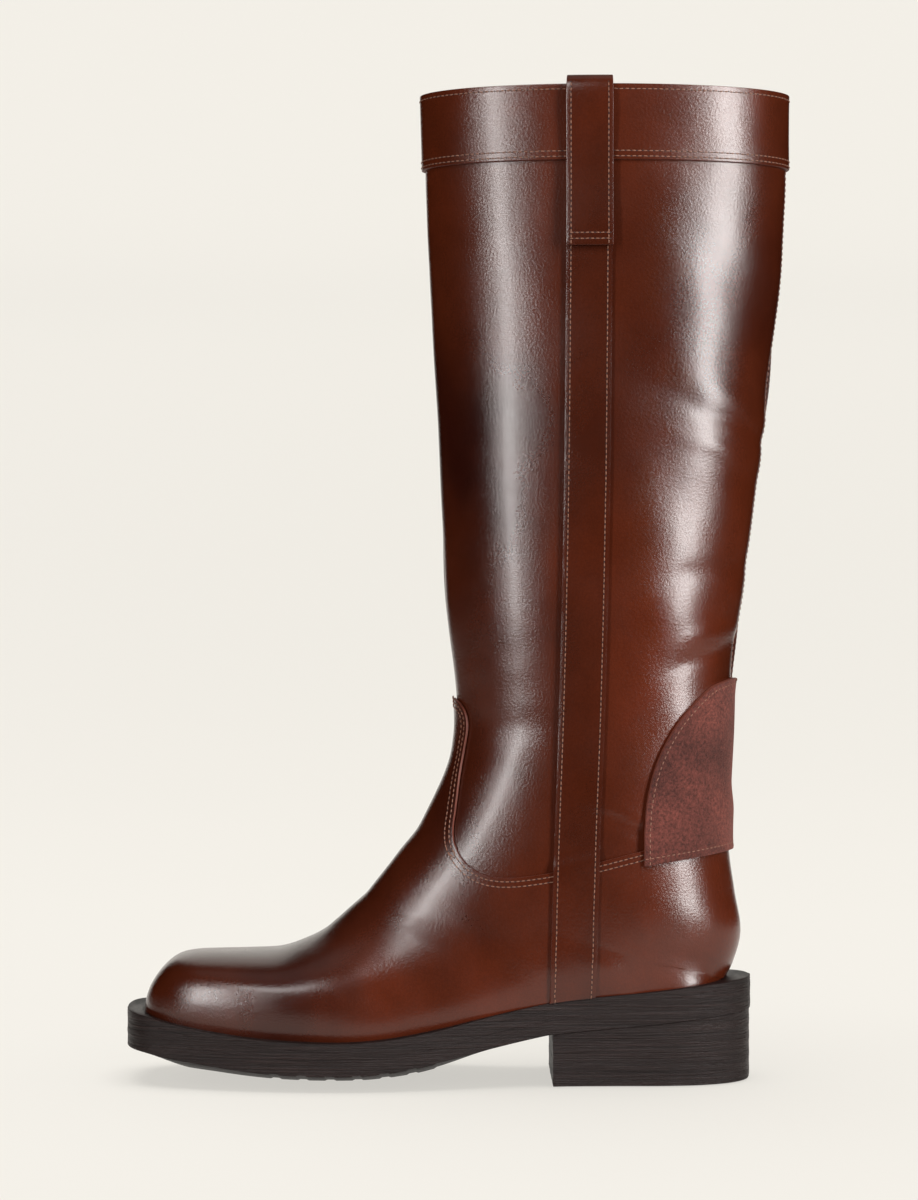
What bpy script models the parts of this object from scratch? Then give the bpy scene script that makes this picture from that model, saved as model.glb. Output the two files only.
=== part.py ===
"""A tall pull-on leather riding boot, left foot, standing on the ground plane.

Metres, +Z up, toe towards -X, outer side towards -Y.
The upper is laid out on one lasted surface.  A place on it is (u, v): u runs
from the mouth down the front ridge to the toe tip, v runs from the front
ridge (0) round either side to the back seam or, in the foot, to the edge
that meets the sole (+1 outer side, -1 inner side).
Each leather piece is a closed shell between two offsets of that surface.
"""
import math

import bmesh
import bpy
import numpy as np
from mathutils import Vector

for old in list(bpy.data.objects):
    bpy.data.objects.remove(old, do_unlink=True)

# ------------------------------------------------------------- driving sizes
MM = 0.001
GAP = 0.3                    # clearance between touching pieces
LEATHER = 1.8                # thickness of one leather layer
LINING = 1.1                 # thickness of the lining
PIVOT = (60.0, 0.0, 140.0)   # ankle axis, along Y
RIM_Z = 440.0                # top of the shaft
BAND_H = 33.3                # height of the collar band
STRAP_HALF = 10.0            # half the width of the straps
STACK = 14.6                 # sole thickness: welt, midsole and outsole
WELT_T = 3.0
MIDSOLE_T = 4.0
TOP_LIFT_T = 6.0
LIFT_T = 4.0
BREAST_X = 41.3              # front face of the heel

# Stations of the lasted surface, mouth to toe tip:
# ridge x, z | end x, z | half width outer, inner | end/half width | roundness
STATIONS = np.array([
    (-16.0, 440.0, 146.9, 440.0, 38.0, 38.0, 0.00, 1.00),
    (-14.0, 375.0, 145.5, 375.0, 39.5, 39.5, 0.00, 1.00),
    (-9.9, 300.0, 137.8, 300.0, 40.0, 40.0, 0.00, 1.00),
    (-7.6, 250.0, 131.6, 250.0, 39.5, 39.5, 0.00, 0.98),
    (-5.9, 213.0, 126.9, 213.0, 38.5, 38.5, 0.00, 0.97),
    (-1.6, 177.0, 122.3, 179.0, 37.0, 37.0, 0.00, 0.95),
    (-0.9, 158.0, 121.0, 152.0, 36.0, 36.0, 0.00, 0.92),
    (-3.2, 141.0, 120.0, 126.0, 35.5, 35.5, 0.00, 0.90),
    (-9.4, 125.8, 119.6, 103.0, 35.5, 35.5, 0.00, 0.88),
    (-17.5, 111.0, 122.2, 83.0, 35.5, 35.5, 0.00, 0.86),
    (-26.0, 100.0, 124.8, 64.0, 35.5, 35.0, 0.00, 0.85),
    (-33.5, 90.3, 118.5, 45.7, 35.5, 35.0, 0.00, 0.85),
    (-37.0, 85.8, 114.0, 44.7, 35.6, 34.5, 0.44, 0.85),
    (-40.5, 81.3, 102.5, 43.5, 35.8, 34.0, 0.74, 0.85),
    (-44.2, 77.8, 80.0, 40.8, 36.0, 34.0, 0.85, 0.86),
    (-48.7, 73.8, 50.0, 38.0, 36.5, 34.0, 0.90, 0.88),
    (-53.7, 69.3, 18.0, 32.6, 38.5, 33.5, 0.93, 0.88),
    (-59.8, 64.4, -14.0, 25.4, 42.0, 35.5, 0.95, 0.86),
    (-68.3, 60.0, -44.0, 21.3, 45.5, 40.0, 0.97, 0.82),
    (-80.0, 56.0, -70.0, 21.6, 45.3, 42.3, 0.97, 0.78),
    (-95.0, 55.1, -93.0, 23.2, 42.3, 40.6, 0.97, 0.75),
    (-108.0, 54.8, -109.0, 25.3, 38.8, 37.8, 0.97, 0.73),
    (-118.0, 54.4, -121.0, 27.3, 35.4, 34.8, 0.97, 0.72),
    (-125.5, 52.8, -129.0, 29.1, 31.6, 31.3, 0.97, 0.72),
    (-131.5, 48.2, -134.3, 30.5, 26.4, 26.4, 0.97, 0.74),
    (-136.0, 42.0, -137.5, 31.3, 18.6, 18.6, 0.97, 0.80),
    (-138.2, 36.6, -138.6, 31.5, 9.8, 9.8, 0.97, 0.90),
    (-138.8, 34.0, -138.8, 31.5, 0.0, 0.0, 0.97, 1.00),
])
LAST = len(STATIONS) - 1
HEEL_CORNER = 11.0           # u where the back seam ends at the sole

# Sole edge seen from above: outer side from heel back to toe tip, then back.
SOLE_OUTER = [
    (131.0, 0.0), (128.4, -13.0), (120.5, -23.8), (107.0, -31.0),
    (90.0, -33.7), (70.0, -34.0), (45.0, -35.2), (20.0, -39.3),
    (-5.0, -45.3), (-30.0, -50.4), (-55.0, -52.0), (-80.0, -50.4),
    (-103.0, -46.2), (-122.0, -40.5), (-136.0, -34.6), (-144.0, -26.5),
    (-147.6, -14.0), (-148.4, 0.0),
]
SOLE_INNER = [
    (-147.6, 14.0), (-144.0, 26.0), (-136.0, 33.8), (-122.0, 39.4),
    (-103.0, 44.2), (-80.0, 47.5), (-60.0, 47.9), (-35.0, 45.2),
    (-10.0, 39.4), (15.0, 34.4), (40.0, 32.6), (65.0, 33.2),
    (88.0, 33.6), (107.0, 31.0), (120.5, 23.8), (128.4, 13.0),
]
# Height of the sole's top edge along the boot.
SOLE_TOP = [
    (-148.4, 32.2), (-138.5, 30.8), (-127.3, 28.2), (-111.3, 25.3),
    (-90.0, 22.6), (-69.5, 21.3), (-49.0, 21.0), (-28.7, 22.6), (-8.3, 26.2),
    (9.2, 30.3), (29.7, 34.8), (45.0, 37.6), (66.0, 39.6), (86.9, 41.5),
    (106.0, 43.6), (119.0, 44.9), (131.0, 45.7),
]

# Side-view lines on the upper (x, z).
VAMP_SEAM = [
    (-3.5, 170.5), (0.5, 168.5), (3.6, 163.5), (4.2, 156.0), (2.6, 145.0),
    (0.0, 128.0), (-2.2, 112.0), (-0.8, 103.5), (4.5, 96.5), (12.0, 92.6),
    (22.0, 91.6), (36.0, 93.2), (51.5, 96.0),
]
FOXING_SEAM = [
    (51.5, 96.0), (64.0, 99.3), (82.0, 103.8), (100.0, 107.8), (121.5, 112.0),
]
STRAP_LINE = [
    (57.5, 440.0), (57.2, 374.0), (56.2, 268.0), (54.2, 170.0),
    (51.5, 95.0), (50.0, 36.0),
]
SPUR_EDGE = [
    (123.4, 179.2), (117.0, 177.6), (110.0, 174.4), (101.0, 165.8),
    (94.0, 156.5), (87.2, 143.0), (83.2, 129.0), (81.2, 112.6), (81.0, 96.8),
]
SPUR_FOOT_Z = (96.8, 103.0)  # lower edge at its front corner and at the back


# ---------------------------------------------------------------- materials
def material(name, colour, roughness, metallic=0.0):
    mat = bpy.data.materials.new(name)
    mat.use_nodes = True
    shader = mat.node_tree.nodes["Principled BSDF"]
    shader.inputs["Base Color"].default_value = (*colour, 1.0)
    shader.inputs["Roughness"].default_value = roughness
    shader.inputs["Metallic"].default_value = metallic
    mat.diffuse_color = (*colour, 1.0)
    return mat


LOOKS = {
    "leather": ((0.13, 0.022, 0.010), 0.28, 0.0),
    "leather_dark": ((0.09, 0.016, 0.008), 0.32, 0.0),
    "roughout": ((0.20, 0.045, 0.030), 0.85, 0.0),
    "lining": ((0.42, 0.26, 0.15), 0.7, 0.0),
    "board": ((0.36, 0.24, 0.14), 0.85, 0.0),
    "drill": ((0.62, 0.56, 0.46), 0.9, 0.0),
    "stiffener": ((0.55, 0.50, 0.42), 0.8, 0.0),
    "cork": ((0.45, 0.27, 0.13), 0.9, 0.0),
    "sole": ((0.026, 0.020, 0.018), 0.55, 0.0),
    "stack": ((0.030, 0.022, 0.019), 0.6, 0.0),
    "rubber": ((0.018, 0.017, 0.017), 0.7, 0.0),
    "steel": ((0.55, 0.55, 0.56), 0.35, 1.0),
}


# ------------------------------------------------------------ curve helpers
def spline(table, place):
    """Catmull-Rom value of a table's rows at a fractional row number."""
    rows = np.asarray(table, dtype=float)
    place = np.clip(np.asarray(place, dtype=float), 0.0, len(rows) - 1.0)
    k = np.minimum(place.astype(int), len(rows) - 2)
    t = (place - k)[..., None]
    before = np.where((k > 0)[..., None], rows[np.maximum(k - 1, 0)],
                      2 * rows[k] - rows[k + 1])
    after = np.where((k + 2 < len(rows))[..., None],
                     rows[np.minimum(k + 2, len(rows) - 1)],
                     2 * rows[k + 1] - rows[k])
    a, b = rows[k], rows[k + 1]
    return 0.5 * (2 * a + (b - before) * t
                  + (2 * before - 5 * a + 4 * b - after) * t ** 2
                  + (3 * a - before - 3 * b + after) * t ** 3)


def smooth_line(points, count):
    """A smooth run of count points through the given ones."""
    return spline(points, np.linspace(0, len(points) - 1, count))


def ramp(x, low, high):
    """0 below low, 1 above high, eased between."""
    t = np.clip((x - low) / (high - low), 0.0, 1.0)
    return t * t * (3 - 2 * t)


SOLE_LINE = smooth_line(SOLE_TOP, 241)


def sole_top(x):
    return np.interp(x, SOLE_LINE[:, 0], SOLE_LINE[:, 1])


# ---------------------------------------------------------- lasted surface
def section(u, v):
    """Where the chord parameter and the half width stand at (u, v)."""
    row = spline(STATIONS, u)
    row[..., 3] = np.where(np.asarray(u) >= HEEL_CORNER,
                           sole_top(row[..., 2]) + 0.7, row[..., 3])
    width = np.where(v >= 0, row[..., 4], row[..., 5])
    ratio = np.clip(row[..., 6], 0.0, 0.985)
    power = row[..., 7]
    end = math.pi - np.arcsin(ratio ** (1 / power))
    angle = np.abs(v) * end
    cosine = np.cos(angle)
    along = 1 - np.sign(cosine) * np.abs(cosine) ** power
    whole = 1 + np.abs(np.cos(end)) ** power
    out = np.maximum(width, 0.0) * np.abs(np.sin(angle)) ** power
    return row, along / whole, out


def surface(u, v):
    """The lasted surface in millimetres."""
    u = np.asarray(u, dtype=float)
    v = np.asarray(v, dtype=float)
    row, along, out = section(u, v)
    x = row[..., 0] + (row[..., 2] - row[..., 0]) * along
    z = row[..., 1] + (row[..., 3] - row[..., 1]) * along
    y = -np.sign(v) * out
    return np.stack([x, y, z], axis=-1)


def normal(u, v):
    """Outward unit normal, level across the ridge and the back seam."""
    u = np.asarray(u, dtype=float)
    v = np.asarray(v, dtype=float)
    du, dv = 0.04, 0.012
    side = np.where(v < 0, -1.0, 1.0)
    w = np.abs(v)
    high_u = np.minimum(u + du, LAST - 0.001)
    low_u = np.maximum(high_u - 2 * du, 0.0)
    high_v = np.minimum(w + dv, 1.0)
    low_v = np.maximum(high_v - 2 * dv, 0.0)
    along_u = surface(high_u, v) - surface(low_u, v)
    along_v = surface(u, side * high_v) - surface(u, side * low_v)
    n = np.cross(along_u, along_v) * side[..., None]
    length = np.linalg.norm(n, axis=-1, keepdims=True)
    n = n / np.maximum(length, 1e-9)
    centre = (w < 1e-6) | ((w > 1 - 1e-6) & (u <= HEEL_CORNER + 1e-6))
    centre = centre | (u > LAST - 1e-6)
    n[..., 1] = np.where(centre, 0.0, n[..., 1])
    n = n / np.maximum(np.linalg.norm(n, axis=-1, keepdims=True), 1e-9)
    tip = u > LAST - 1e-6
    n[tip] = (-1.0, 0.0, 0.0)
    return n


def offset_points(u, v, distance):
    return surface(u, v) + normal(u, v) * np.asarray(distance)[..., None]


def locate(x, z, side):
    """(u, v) of the surface point that stands at (x, z) seen from the side."""
    places = np.linspace(0.0, LAST, 1301)
    row = section(places, np.zeros(1301))[0]
    fx, fz, ex, ez = (row[:, k] for k in range(4))
    across = (ex - fx) * (z - fz) - (ez - fz) * (x - fx)
    share = ((x - fx) * (ex - fx) + (z - fz) * (ez - fz)) / np.maximum(
        (ex - fx) ** 2 + (ez - fz) ** 2, 1e-9)
    near = np.flatnonzero((across[:-1] <= 0) & (across[1:] > 0)
                          & (share[:-1] > -0.05) & (share[:-1] < 1.05))
    if len(near):
        k = near[0]
        u = places[k] + (places[k + 1] - places[k]) * (
            -across[k] / (across[k + 1] - across[k]))
        at = min(max(share[k], 0.0), 1.0)
    else:
        k = int(np.argmin(np.abs(across) + 1e3 * (share < -0.05)
                          + 1e3 * (share > 1.05)))
        u = places[k]
        at = min(max(share[k], 0.0), 1.0)
    tries = np.linspace(0.0, 1.0, 801)
    _, along, _ = section(np.full(801, u), tries * side)
    return float(u), float(np.interp(at, along, tries)) * side


def located_line(points, count, side=1):
    """A side-view line as rows of (u, |v|)."""
    line = smooth_line(points, count)
    found = np.array([locate(x, z, side) for x, z in line])
    return found[:, 0], np.abs(found[:, 1])


def seam_table():
    """u of the line where vamp and heel foxing end, against |v|."""
    u1, v1 = located_line(VAMP_SEAM, 49)
    u2, v2 = located_line(FOXING_SEAM, 17)
    v1[0] = 0.0
    v2[-1] = 1.0
    v = np.concatenate([v1, v2[1:]])
    u = np.concatenate([u1, u2[1:]])
    order = np.maximum.accumulate(v + np.arange(len(v)) * 1e-7)
    return order, u


SEAM_V, SEAM_U = seam_table()


def strap_table():
    """|v| of the side strap's middle line against u."""
    u, v = located_line(STRAP_LINE, 61)
    keep = np.concatenate([[True], np.diff(u) > 1e-6])
    return u[keep], v[keep]


STRAP_U, STRAP_V = strap_table()
STRAP_FOOT_U = float(STRAP_U[-1])


def seam_u(v):
    return np.interp(np.abs(v), SEAM_V, SEAM_U)


def strap_v(u):
    return np.interp(u, STRAP_U, STRAP_V)


# -------------------------------------------------------------- mesh makers
def finish(name, look, points, faces, sharp=35.0):
    """Makes one closed object from millimetre points and loops of indices."""
    mesh = bpy.data.meshes.new(name)
    points = np.asarray(points, dtype=float)
    origin = points.mean(axis=0)
    mesh.from_pydata(((points - origin) * MM).tolist(), [], faces)
    bm = bmesh.new()
    bm.from_mesh(mesh)
    bmesh.ops.triangulate(bm, faces=bm.faces[:])
    bmesh.ops.recalc_face_normals(bm, faces=bm.faces[:])
    bm.to_mesh(mesh)
    bm.free()
    mesh.shade_smooth()
    mesh.set_sharp_from_angle(angle=math.radians(sharp))
    obj = bpy.data.objects.new(name, mesh)
    bpy.context.scene.collection.objects.link(obj)
    obj.location = Vector(origin * MM)
    obj.data.materials.append(material(name + "_" + look, *LOOKS[look]))
    return obj


def close(top, count):
    """Faces of a slab: top triangles, their copies below, and the walls."""
    faces = list(top)
    faces += [(a + count, c + count, b + count) for a, b, c in top]
    used = {}
    for tri in top:
        for a, b in ((tri[0], tri[1]), (tri[1], tri[2]), (tri[2], tri[0])):
            pair = (min(a, b), max(a, b))
            used[pair] = used.get(pair, 0) + 1
    for (a, b), times in used.items():
        if times == 1:
            faces += [(b, a, a + count), (b, a + count, b + count)]
    return faces


def grid_triangles(number):
    """Triangles over a grid of point numbers, without collapsed ones."""
    top = []
    for i in range(number.shape[0] - 1):
        for j in range(number.shape[1] - 1):
            a, b = number[i, j], number[i + 1, j]
            c, d = number[i + 1, j + 1], number[i, j + 1]
            for tri in ((a, b, c), (a, c, d)):
                if len(set(tri)) == 3:
                    top.append(tuple(int(n) for n in tri))
    return top


def shell(name, look, grids, low, high):
    """Closes the patches over (u, v) grids between two offsets."""
    keys, places, top = {}, [], []
    for grid_u, grid_v in grids:
        number = np.zeros(grid_u.shape, dtype=int)
        for i, j in np.ndindex(grid_u.shape):
            u, v = float(grid_u[i, j]), float(grid_v[i, j])
            side = v
            at_back = abs(v) > 1 - 1e-6 and u <= HEEL_CORNER + 1e-6
            if u > LAST - 1e-6 or at_back:
                side = abs(v)
            key = (round(u, 4), round(side, 4))
            if key not in keys:
                keys[key] = len(places)
                places.append((u, v))
            number[i, j] = keys[key]
        top += grid_triangles(number)
    u, v = np.array(places).T
    floor = low(u, v) if callable(low) else np.full(len(u), low)
    crest = high(u, v) if callable(high) else np.full(len(u), high)
    points = np.concatenate([offset_points(u, v, crest),
                             offset_points(u, v, floor)])
    foot = np.tile(u > HEEL_CORNER - 0.6, 2)
    seat = sole_top(points[:, 0]) + GAP + 0.1
    points[:, 2] = np.where(foot, np.maximum(points[:, 2], seat), points[:, 2])
    return finish(name, look, points, close(top, len(u)))


def held(us, columns, low=None, high=None):
    """A grid of rows u and columns v(u), held between the lines u(v)."""
    count = len(columns(us[0]))
    grid_u = np.repeat(np.asarray(us, dtype=float)[:, None], count, axis=1)
    for j in range(count):
        for line, pick in ((low, np.maximum), (high, np.minimum)):
            if line is None:
                continue
            a, b = float(us[0]), float(us[-1])
            for _ in range(40):
                mid = 0.5 * (a + b)
                if mid > line(columns(mid)[j]):
                    b = mid
                else:
                    a = mid
            grid_u[:, j] = pick(grid_u[:, j], 0.5 * (a + b))
    grid_v = np.array([[columns(u)[j] for j, u in enumerate(row)]
                       for row in grid_u])
    return grid_u, grid_v


# ---------------------------------------------------------- upper's leather
SHAFT_U = [0.0, 0.5, 1.0, 2.0, 3.0, 4.0, 5.0, 5.5, 6.0, 6.5, 7.0, 7.5, 8.0,
           8.5, 9.0, 9.5, 10.0, 10.5]
FOOT_U = SHAFT_U[6:-1] + [float(k) for k in range(11, LAST + 1)]
TUCK = 0.35       # how far the shaft runs under vamp and foxing, in u
SPLIT = 0.004     # half the gap where two panels butt, in v
PUFF_U = 19.0     # where the toe puff starts
LINING_U = 5.5    # where the shaft lining ends
CLEAR = GAP + 0.2


def crowded(count):
    """0 to 1 in steps that are finer near 0."""
    t = np.linspace(0.0, 1.0, count)
    return 0.5 * t + 0.5 * (1 - np.cos(t * math.pi / 2))


TONGUE_END = 9.3  # u where the tongue's edges turn into the level seam
SHAFT_HEM = 10.0  # u where the front panel ends under the vamp


def tongue_table():
    """Half width of the vamp's tongue in v, against u."""
    u, v = located_line(VAMP_SEAM, 193)
    v[0] = 0.0
    keep = [0]
    for k in range(1, len(u)):
        if u[k] > u[keep[-1]] + 1e-4 and u[k] <= TONGUE_END:
            keep.append(k)
        elif u[k] > TONGUE_END:
            break
    return u[keep], v[keep]


TONGUE_U, TONGUE_V = tongue_table()


def strap_edge(u, stop=SPLIT):
    if u >= STRAP_FOOT_U - 1e-6:
        return 1.0
    return min(float(strap_v(u)) - stop, 1.0)


def tongue_half(u):
    """Columns across half the tongue at u."""
    return np.array([0.0, 0.45, 0.8, 1.0]) * float(
        np.interp(u, TONGUE_U, TONGUE_V))


def side_half(u, stop=SPLIT):
    """Columns from the tongue's edge to the strap line at u."""
    start = float(np.interp(u, TONGUE_U, TONGUE_V))
    return start + (strap_edge(u, stop) - start) * np.linspace(0.0, 1.0, 5)


def mirrored(half):
    return np.concatenate([-half[:0:-1], half])


def tongue(u):
    return mirrored(tongue_half(u))


def front(u, stop=SPLIT):
    """Columns across the front, strap line to strap line."""
    base = max(u, 5.5)
    inner = tongue_half(base)
    start = inner[-1]
    outer = start + (strap_edge(u, stop) - start) * np.linspace(0.0, 1.0, 5)
    return mirrored(np.concatenate([inner, outer[1:]]))


def flank(side):
    """Columns of the vamp beside the tongue."""
    def columns(u):
        return side_half(u) if side > 0 else -side_half(u)[::-1]
    return columns


def back(side, start=SPLIT, stop=0.0):
    """Columns from the strap line to the back seam on one side."""
    def columns(u):
        edge = min(float(strap_v(u)) + start, 1.0)
        run = 1.0 - stop - (1.0 - stop - edge) * crowded(8)[::-1]
        return run if side > 0 else -run[::-1]
    return columns


def tucked(v):
    return seam_u(v) + TUCK


def below_tuck(v):
    return seam_u(v) + TUCK + 0.05


def lift_over(u, v, start=-0.45, full=-0.1):
    """How far a piece rises where vamp or foxing lies under it."""
    return (LEATHER + GAP + 0.3) * ramp(u - seam_u(v), start, full)


def foot_rows(start, stop=float(LAST)):
    rows = [u for u in FOOT_U if start < u < stop]
    return [start] + rows + [stop]


# shaft: one front panel and two back panels, butted under the straps
shell("shaft_front", "leather",
      [held([u for u in SHAFT_U if u <= SHAFT_HEM], front)], -LEATHER, 0.0)
for tag, side in (("outer", 1), ("inner", -1)):
    shell("shaft_back_" + tag, "leather",
          [held(SHAFT_U, back(side, SPLIT, SPLIT), high=tucked)],
          -LEATHER, 0.0)

# vamp and heel foxing lie over the shaft and butt under the side straps
PEAK_U = float(TONGUE_U[0])
TONGUE_ROWS = [PEAK_U, PEAK_U + 0.03, PEAK_U + 0.08, PEAK_U + 0.16]
TONGUE_ROWS += [u for u in FOOT_U if u > 5.45 and u < TONGUE_END]
TONGUE_ROWS += [TONGUE_END]
FLANK_ROWS = [8.8, TONGUE_END] + [u for u in FOOT_U if u > TONGUE_END]
shell("vamp", "leather",
      [held(TONGUE_ROWS + FLANK_ROWS[2:], tongue)]
      + [held(FLANK_ROWS, flank(side), low=seam_u) for side in (1, -1)],
      CLEAR, CLEAR + LEATHER)
HEEL_U = foot_rows(5.0, STRAP_FOOT_U)
shell("heel_foxing", "leather",
      [held(HEEL_U, back(side), low=seam_u) for side in (1, -1)],
      CLEAR, CLEAR + LEATHER)

# stiffeners and backing fill the layer under vamp and foxing
shell("vamp_backing", "drill",
      [held(foot_rows(SHAFT_HEM + 0.05, PUFF_U - 0.03), front)],
      -LEATHER, 0.0)
shell("toe_puff", "stiffener", [held(foot_rows(PUFF_U), front)],
      -LEATHER, 0.0)
shell("heel_counter", "stiffener",
      [held(HEEL_U, back(side), low=below_tuck) for side in (1, -1)],
      -LEATHER, 0.0)

# linings
LINED = (-LEATHER - GAP - LINING, -LEATHER - GAP)


def whole_ring(u):
    """Columns right round the shaft."""
    return np.concatenate([back(-1, 0.0)(u)[:-1], front(u, 0.0),
                           back(1, 0.0)(u)[1:]])


SHAFT_ROWS = [u for u in SHAFT_U if u < LINING_U] + [LINING_U]
shell("shaft_lining", "lining", [held(SHAFT_ROWS, whole_ring)], *LINED)
shell("vamp_lining", "lining", [held(foot_rows(LINING_U + 0.03), front)],
      *LINED)
shell("heel_lining", "lining",
      [held(foot_rows(LINING_U + 0.03, STRAP_FOOT_U), back(side))
       for side in (1, -1)], *LINED)

# collar band round the mouth
BAND_U = float(np.interp(RIM_Z - BAND_H, spline(STATIONS, np.linspace(
    1, 0, 101))[:, 1], np.linspace(1, 0, 101)))
shell("collar_band", "leather", [held([0.0, BAND_U / 2, BAND_U], whole_ring)],
      CLEAR, CLEAR + 1.2)


# side straps, from under the pull loops down to the sole
def strap_grid(side):
    heights = [381.0, 377.0, 372.0, 366.0, 340.0, 310.0, 280.0, 250.0, 220.0,
               195.0, 175.0, 160.0, 148.0, 138.0, 129.0, 121.0, 114.0, 108.0,
               103.5, 99.5, 96.0, 92.0, 87.0, 80.0, 70.0, 58.0, 47.0, 0.0]
    line = smooth_line(STRAP_LINE, 121)
    grid_u, grid_v = [], []
    for z in heights:
        row = []
        for shift in (-STRAP_HALF, 0.0, STRAP_HALF):
            low = max(z, 36.0)
            x = float(np.interp(-low, -line[:, 1], line[:, 0])) + shift
            row.append(locate(x, max(z, float(sole_top(x)) + 1.3), side))
        grid_u.append([u for u, _ in row])
        grid_v.append([v for _, v in row])
    return np.array(grid_u), np.array(grid_v)


for tag, side in (("outer", 1), ("inner", -1)):
    shell("side_strap_" + tag, "leather", [strap_grid(side)],
          lambda u, v: CLEAR + lift_over(u, v),
          lambda u, v: CLEAR + LEATHER + lift_over(u, v))

# pull loops: a strap over the rim on either side
LOOP_PATH = [
    (3.7, 369.0), (3.7, 381.0), (3.4, 390.0), (3.2, 400.0), (3.5, 412.0),
    (4.2, 424.0), (4.4, 433.0), (3.5, 439.4), (1.3, 442.6), (-0.9, 443.1),
    (-3.4, 442.5), (-5.3, 439.3), (-5.6, 430.0), (-5.2, 415.0), (-5.1, 400.0),
]


def pull_loop(name, side):
    path = smooth_line(LOOP_PATH, 27)
    turn = np.gradient(path, axis=0)
    turn /= np.linalg.norm(turn, axis=1, keepdims=True)
    across = np.stack([turn[:, 1], -turn[:, 0]], axis=1) * LEATHER / 2
    points, number = [], 0
    for sign in (1, -1):
        for d, z in path + sign * across:
            for shift in (-STRAP_HALF, 0.0, STRAP_HALF):
                base_z = min(z, RIM_Z - 0.5)
                u, v = locate(57.4 + shift, base_z, side)
                p = offset_points(u, v, d)
                p[2] = z
                points.append(p)
    number = np.arange(len(path) * 3).reshape(len(path), 3)
    return finish(name, "leather", points,
                  close(grid_triangles(number), len(path) * 3))


pull_loop("pull_loop_outer", 1)
pull_loop("pull_loop_inner", -1)

# spur rest: one rough-side-out piece wrapped round the back of the heel
EDGE_U, EDGE_V = located_line(SPUR_EDGE, 41)
LOW_LINE = [(81.0 + 42.4 * t, SPUR_FOOT_Z[0] + t * (SPUR_FOOT_Z[1]
             - SPUR_FOOT_Z[0])) for t in (0.0, 0.25, 0.5, 0.75, 1.0)]
LOW_U, LOW_V = located_line(LOW_LINE, 21)
LOW_V[-1] = 1.0
EDGE_V[0] = 1.0


def spur_columns(side):
    def columns(u):
        edge = float(np.interp(u, EDGE_U, EDGE_V))
        run = 1.0 - (1.0 - edge) * crowded(7)[::-1]
        return run if side > 0 else -run[::-1]
    return columns


SPUR_ROWS = [float(EDGE_U[k]) for k in (0, 1, 2, 4, 6, 9, 12, 16, 20, 25, 30,
                                       35, 40)]
SPUR_ROWS.append(float(EDGE_U[-1]) + 0.3)
shell("spur_rest", "roughout",
      [held(SPUR_ROWS, spur_columns(side),
            high=lambda v: float(np.interp(abs(v), LOW_V, LOW_U)))
       for side in (1, -1)],
      lambda u, v: CLEAR + 0.4 + lift_over(u, v, -0.9, -0.3),
      lambda u, v: CLEAR + 2.0 + lift_over(u, v, -0.9, -0.3))


# ------------------------------------------------------------ sole and heel
def inset_line(points, inset, toward):
    """A side of the sole's outline moved inwards, as dense x, y."""
    line = smooth_line(points, 401)
    way = np.gradient(line, axis=0)
    way /= np.maximum(np.linalg.norm(way, axis=1, keepdims=True), 1e-9)
    inward = np.stack([-way[:, 1], way[:, 0]], axis=1) * toward
    return line + inward * inset


class Outline:
    """Half widths of a plate seen from above, between two ends in x."""

    def __init__(self, outer, inner, inset=0.0):
        self.sides = []
        for points, toward in ((outer, -1), (inner, -1)):
            line = inset_line(points, inset, toward)
            line = line[np.argsort(line[:, 0])]
            self.sides.append(line)
        self.low = max(side[0, 0] for side in self.sides)
        self.high = min(side[-1, 0] for side in self.sides)

    def widths(self, x):
        outer = np.interp(x, self.sides[0][:, 0], self.sides[0][:, 1])
        inner = np.interp(x, self.sides[1][:, 0], self.sides[1][:, 1])
        return min(outer, -0.02), max(inner, 0.02)


INNER_RUN = [SOLE_OUTER[-1]] + SOLE_INNER + [SOLE_OUTER[0]]
feather = [surface(u, np.full(1, 1.0))[0] for u in np.linspace(11, LAST, 65)]
FEATHER_OUTER = [(p[0], p[1]) for p in feather]
feather = [surface(u, np.full(1, -1.0))[0] for u in np.linspace(LAST, 11, 65)]
FEATHER_INNER = [(p[0], p[1]) for p in feather]


def end_spaced(low, high, count):
    """x rows that crowd towards rounded ends."""
    t = np.linspace(0.0, math.pi, count)
    return low + (high - low) * (1 - np.cos(t)) / 2


def slab(name, look, outline, xs, top, bottom, columns=5, sharp=35.0):
    """A plate with curved faces, given by heights over (x, y)."""
    upper, lower, number, index = [], [], [], {}
    for x in xs:
        low, high = outline(x)
        row = []
        for t in np.linspace(0.0, 1.0, columns):
            y = low + (high - low) * t
            key = (round(x, 3), round(y, 3))
            if key not in index:
                index[key] = len(upper)
                upper.append((x, y, float(top(x, y))))
                lower.append((x, y, float(bottom(x, y))))
            row.append(index[key])
        number.append(row)
    faces = close(grid_triangles(np.array(number)), len(upper))
    return finish(name, look, upper + lower, faces, sharp)


def nail_places():
    return [(58.0, 0.0), (78.0, -18.0), (78.0, 18.0), (104.0, -14.0),
            (104.0, 14.0)]


NAIL_R = 1.5
NAIL_HEAD_R = 3.0
NAIL_TIP_Z = LIFT_T + TOP_LIFT_T + 2 * GAP + 0.6


def nail_top(x):
    return float(sole_top(x)) - WELT_T - MIDSOLE_T - 2 * GAP - 0.7


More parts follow.
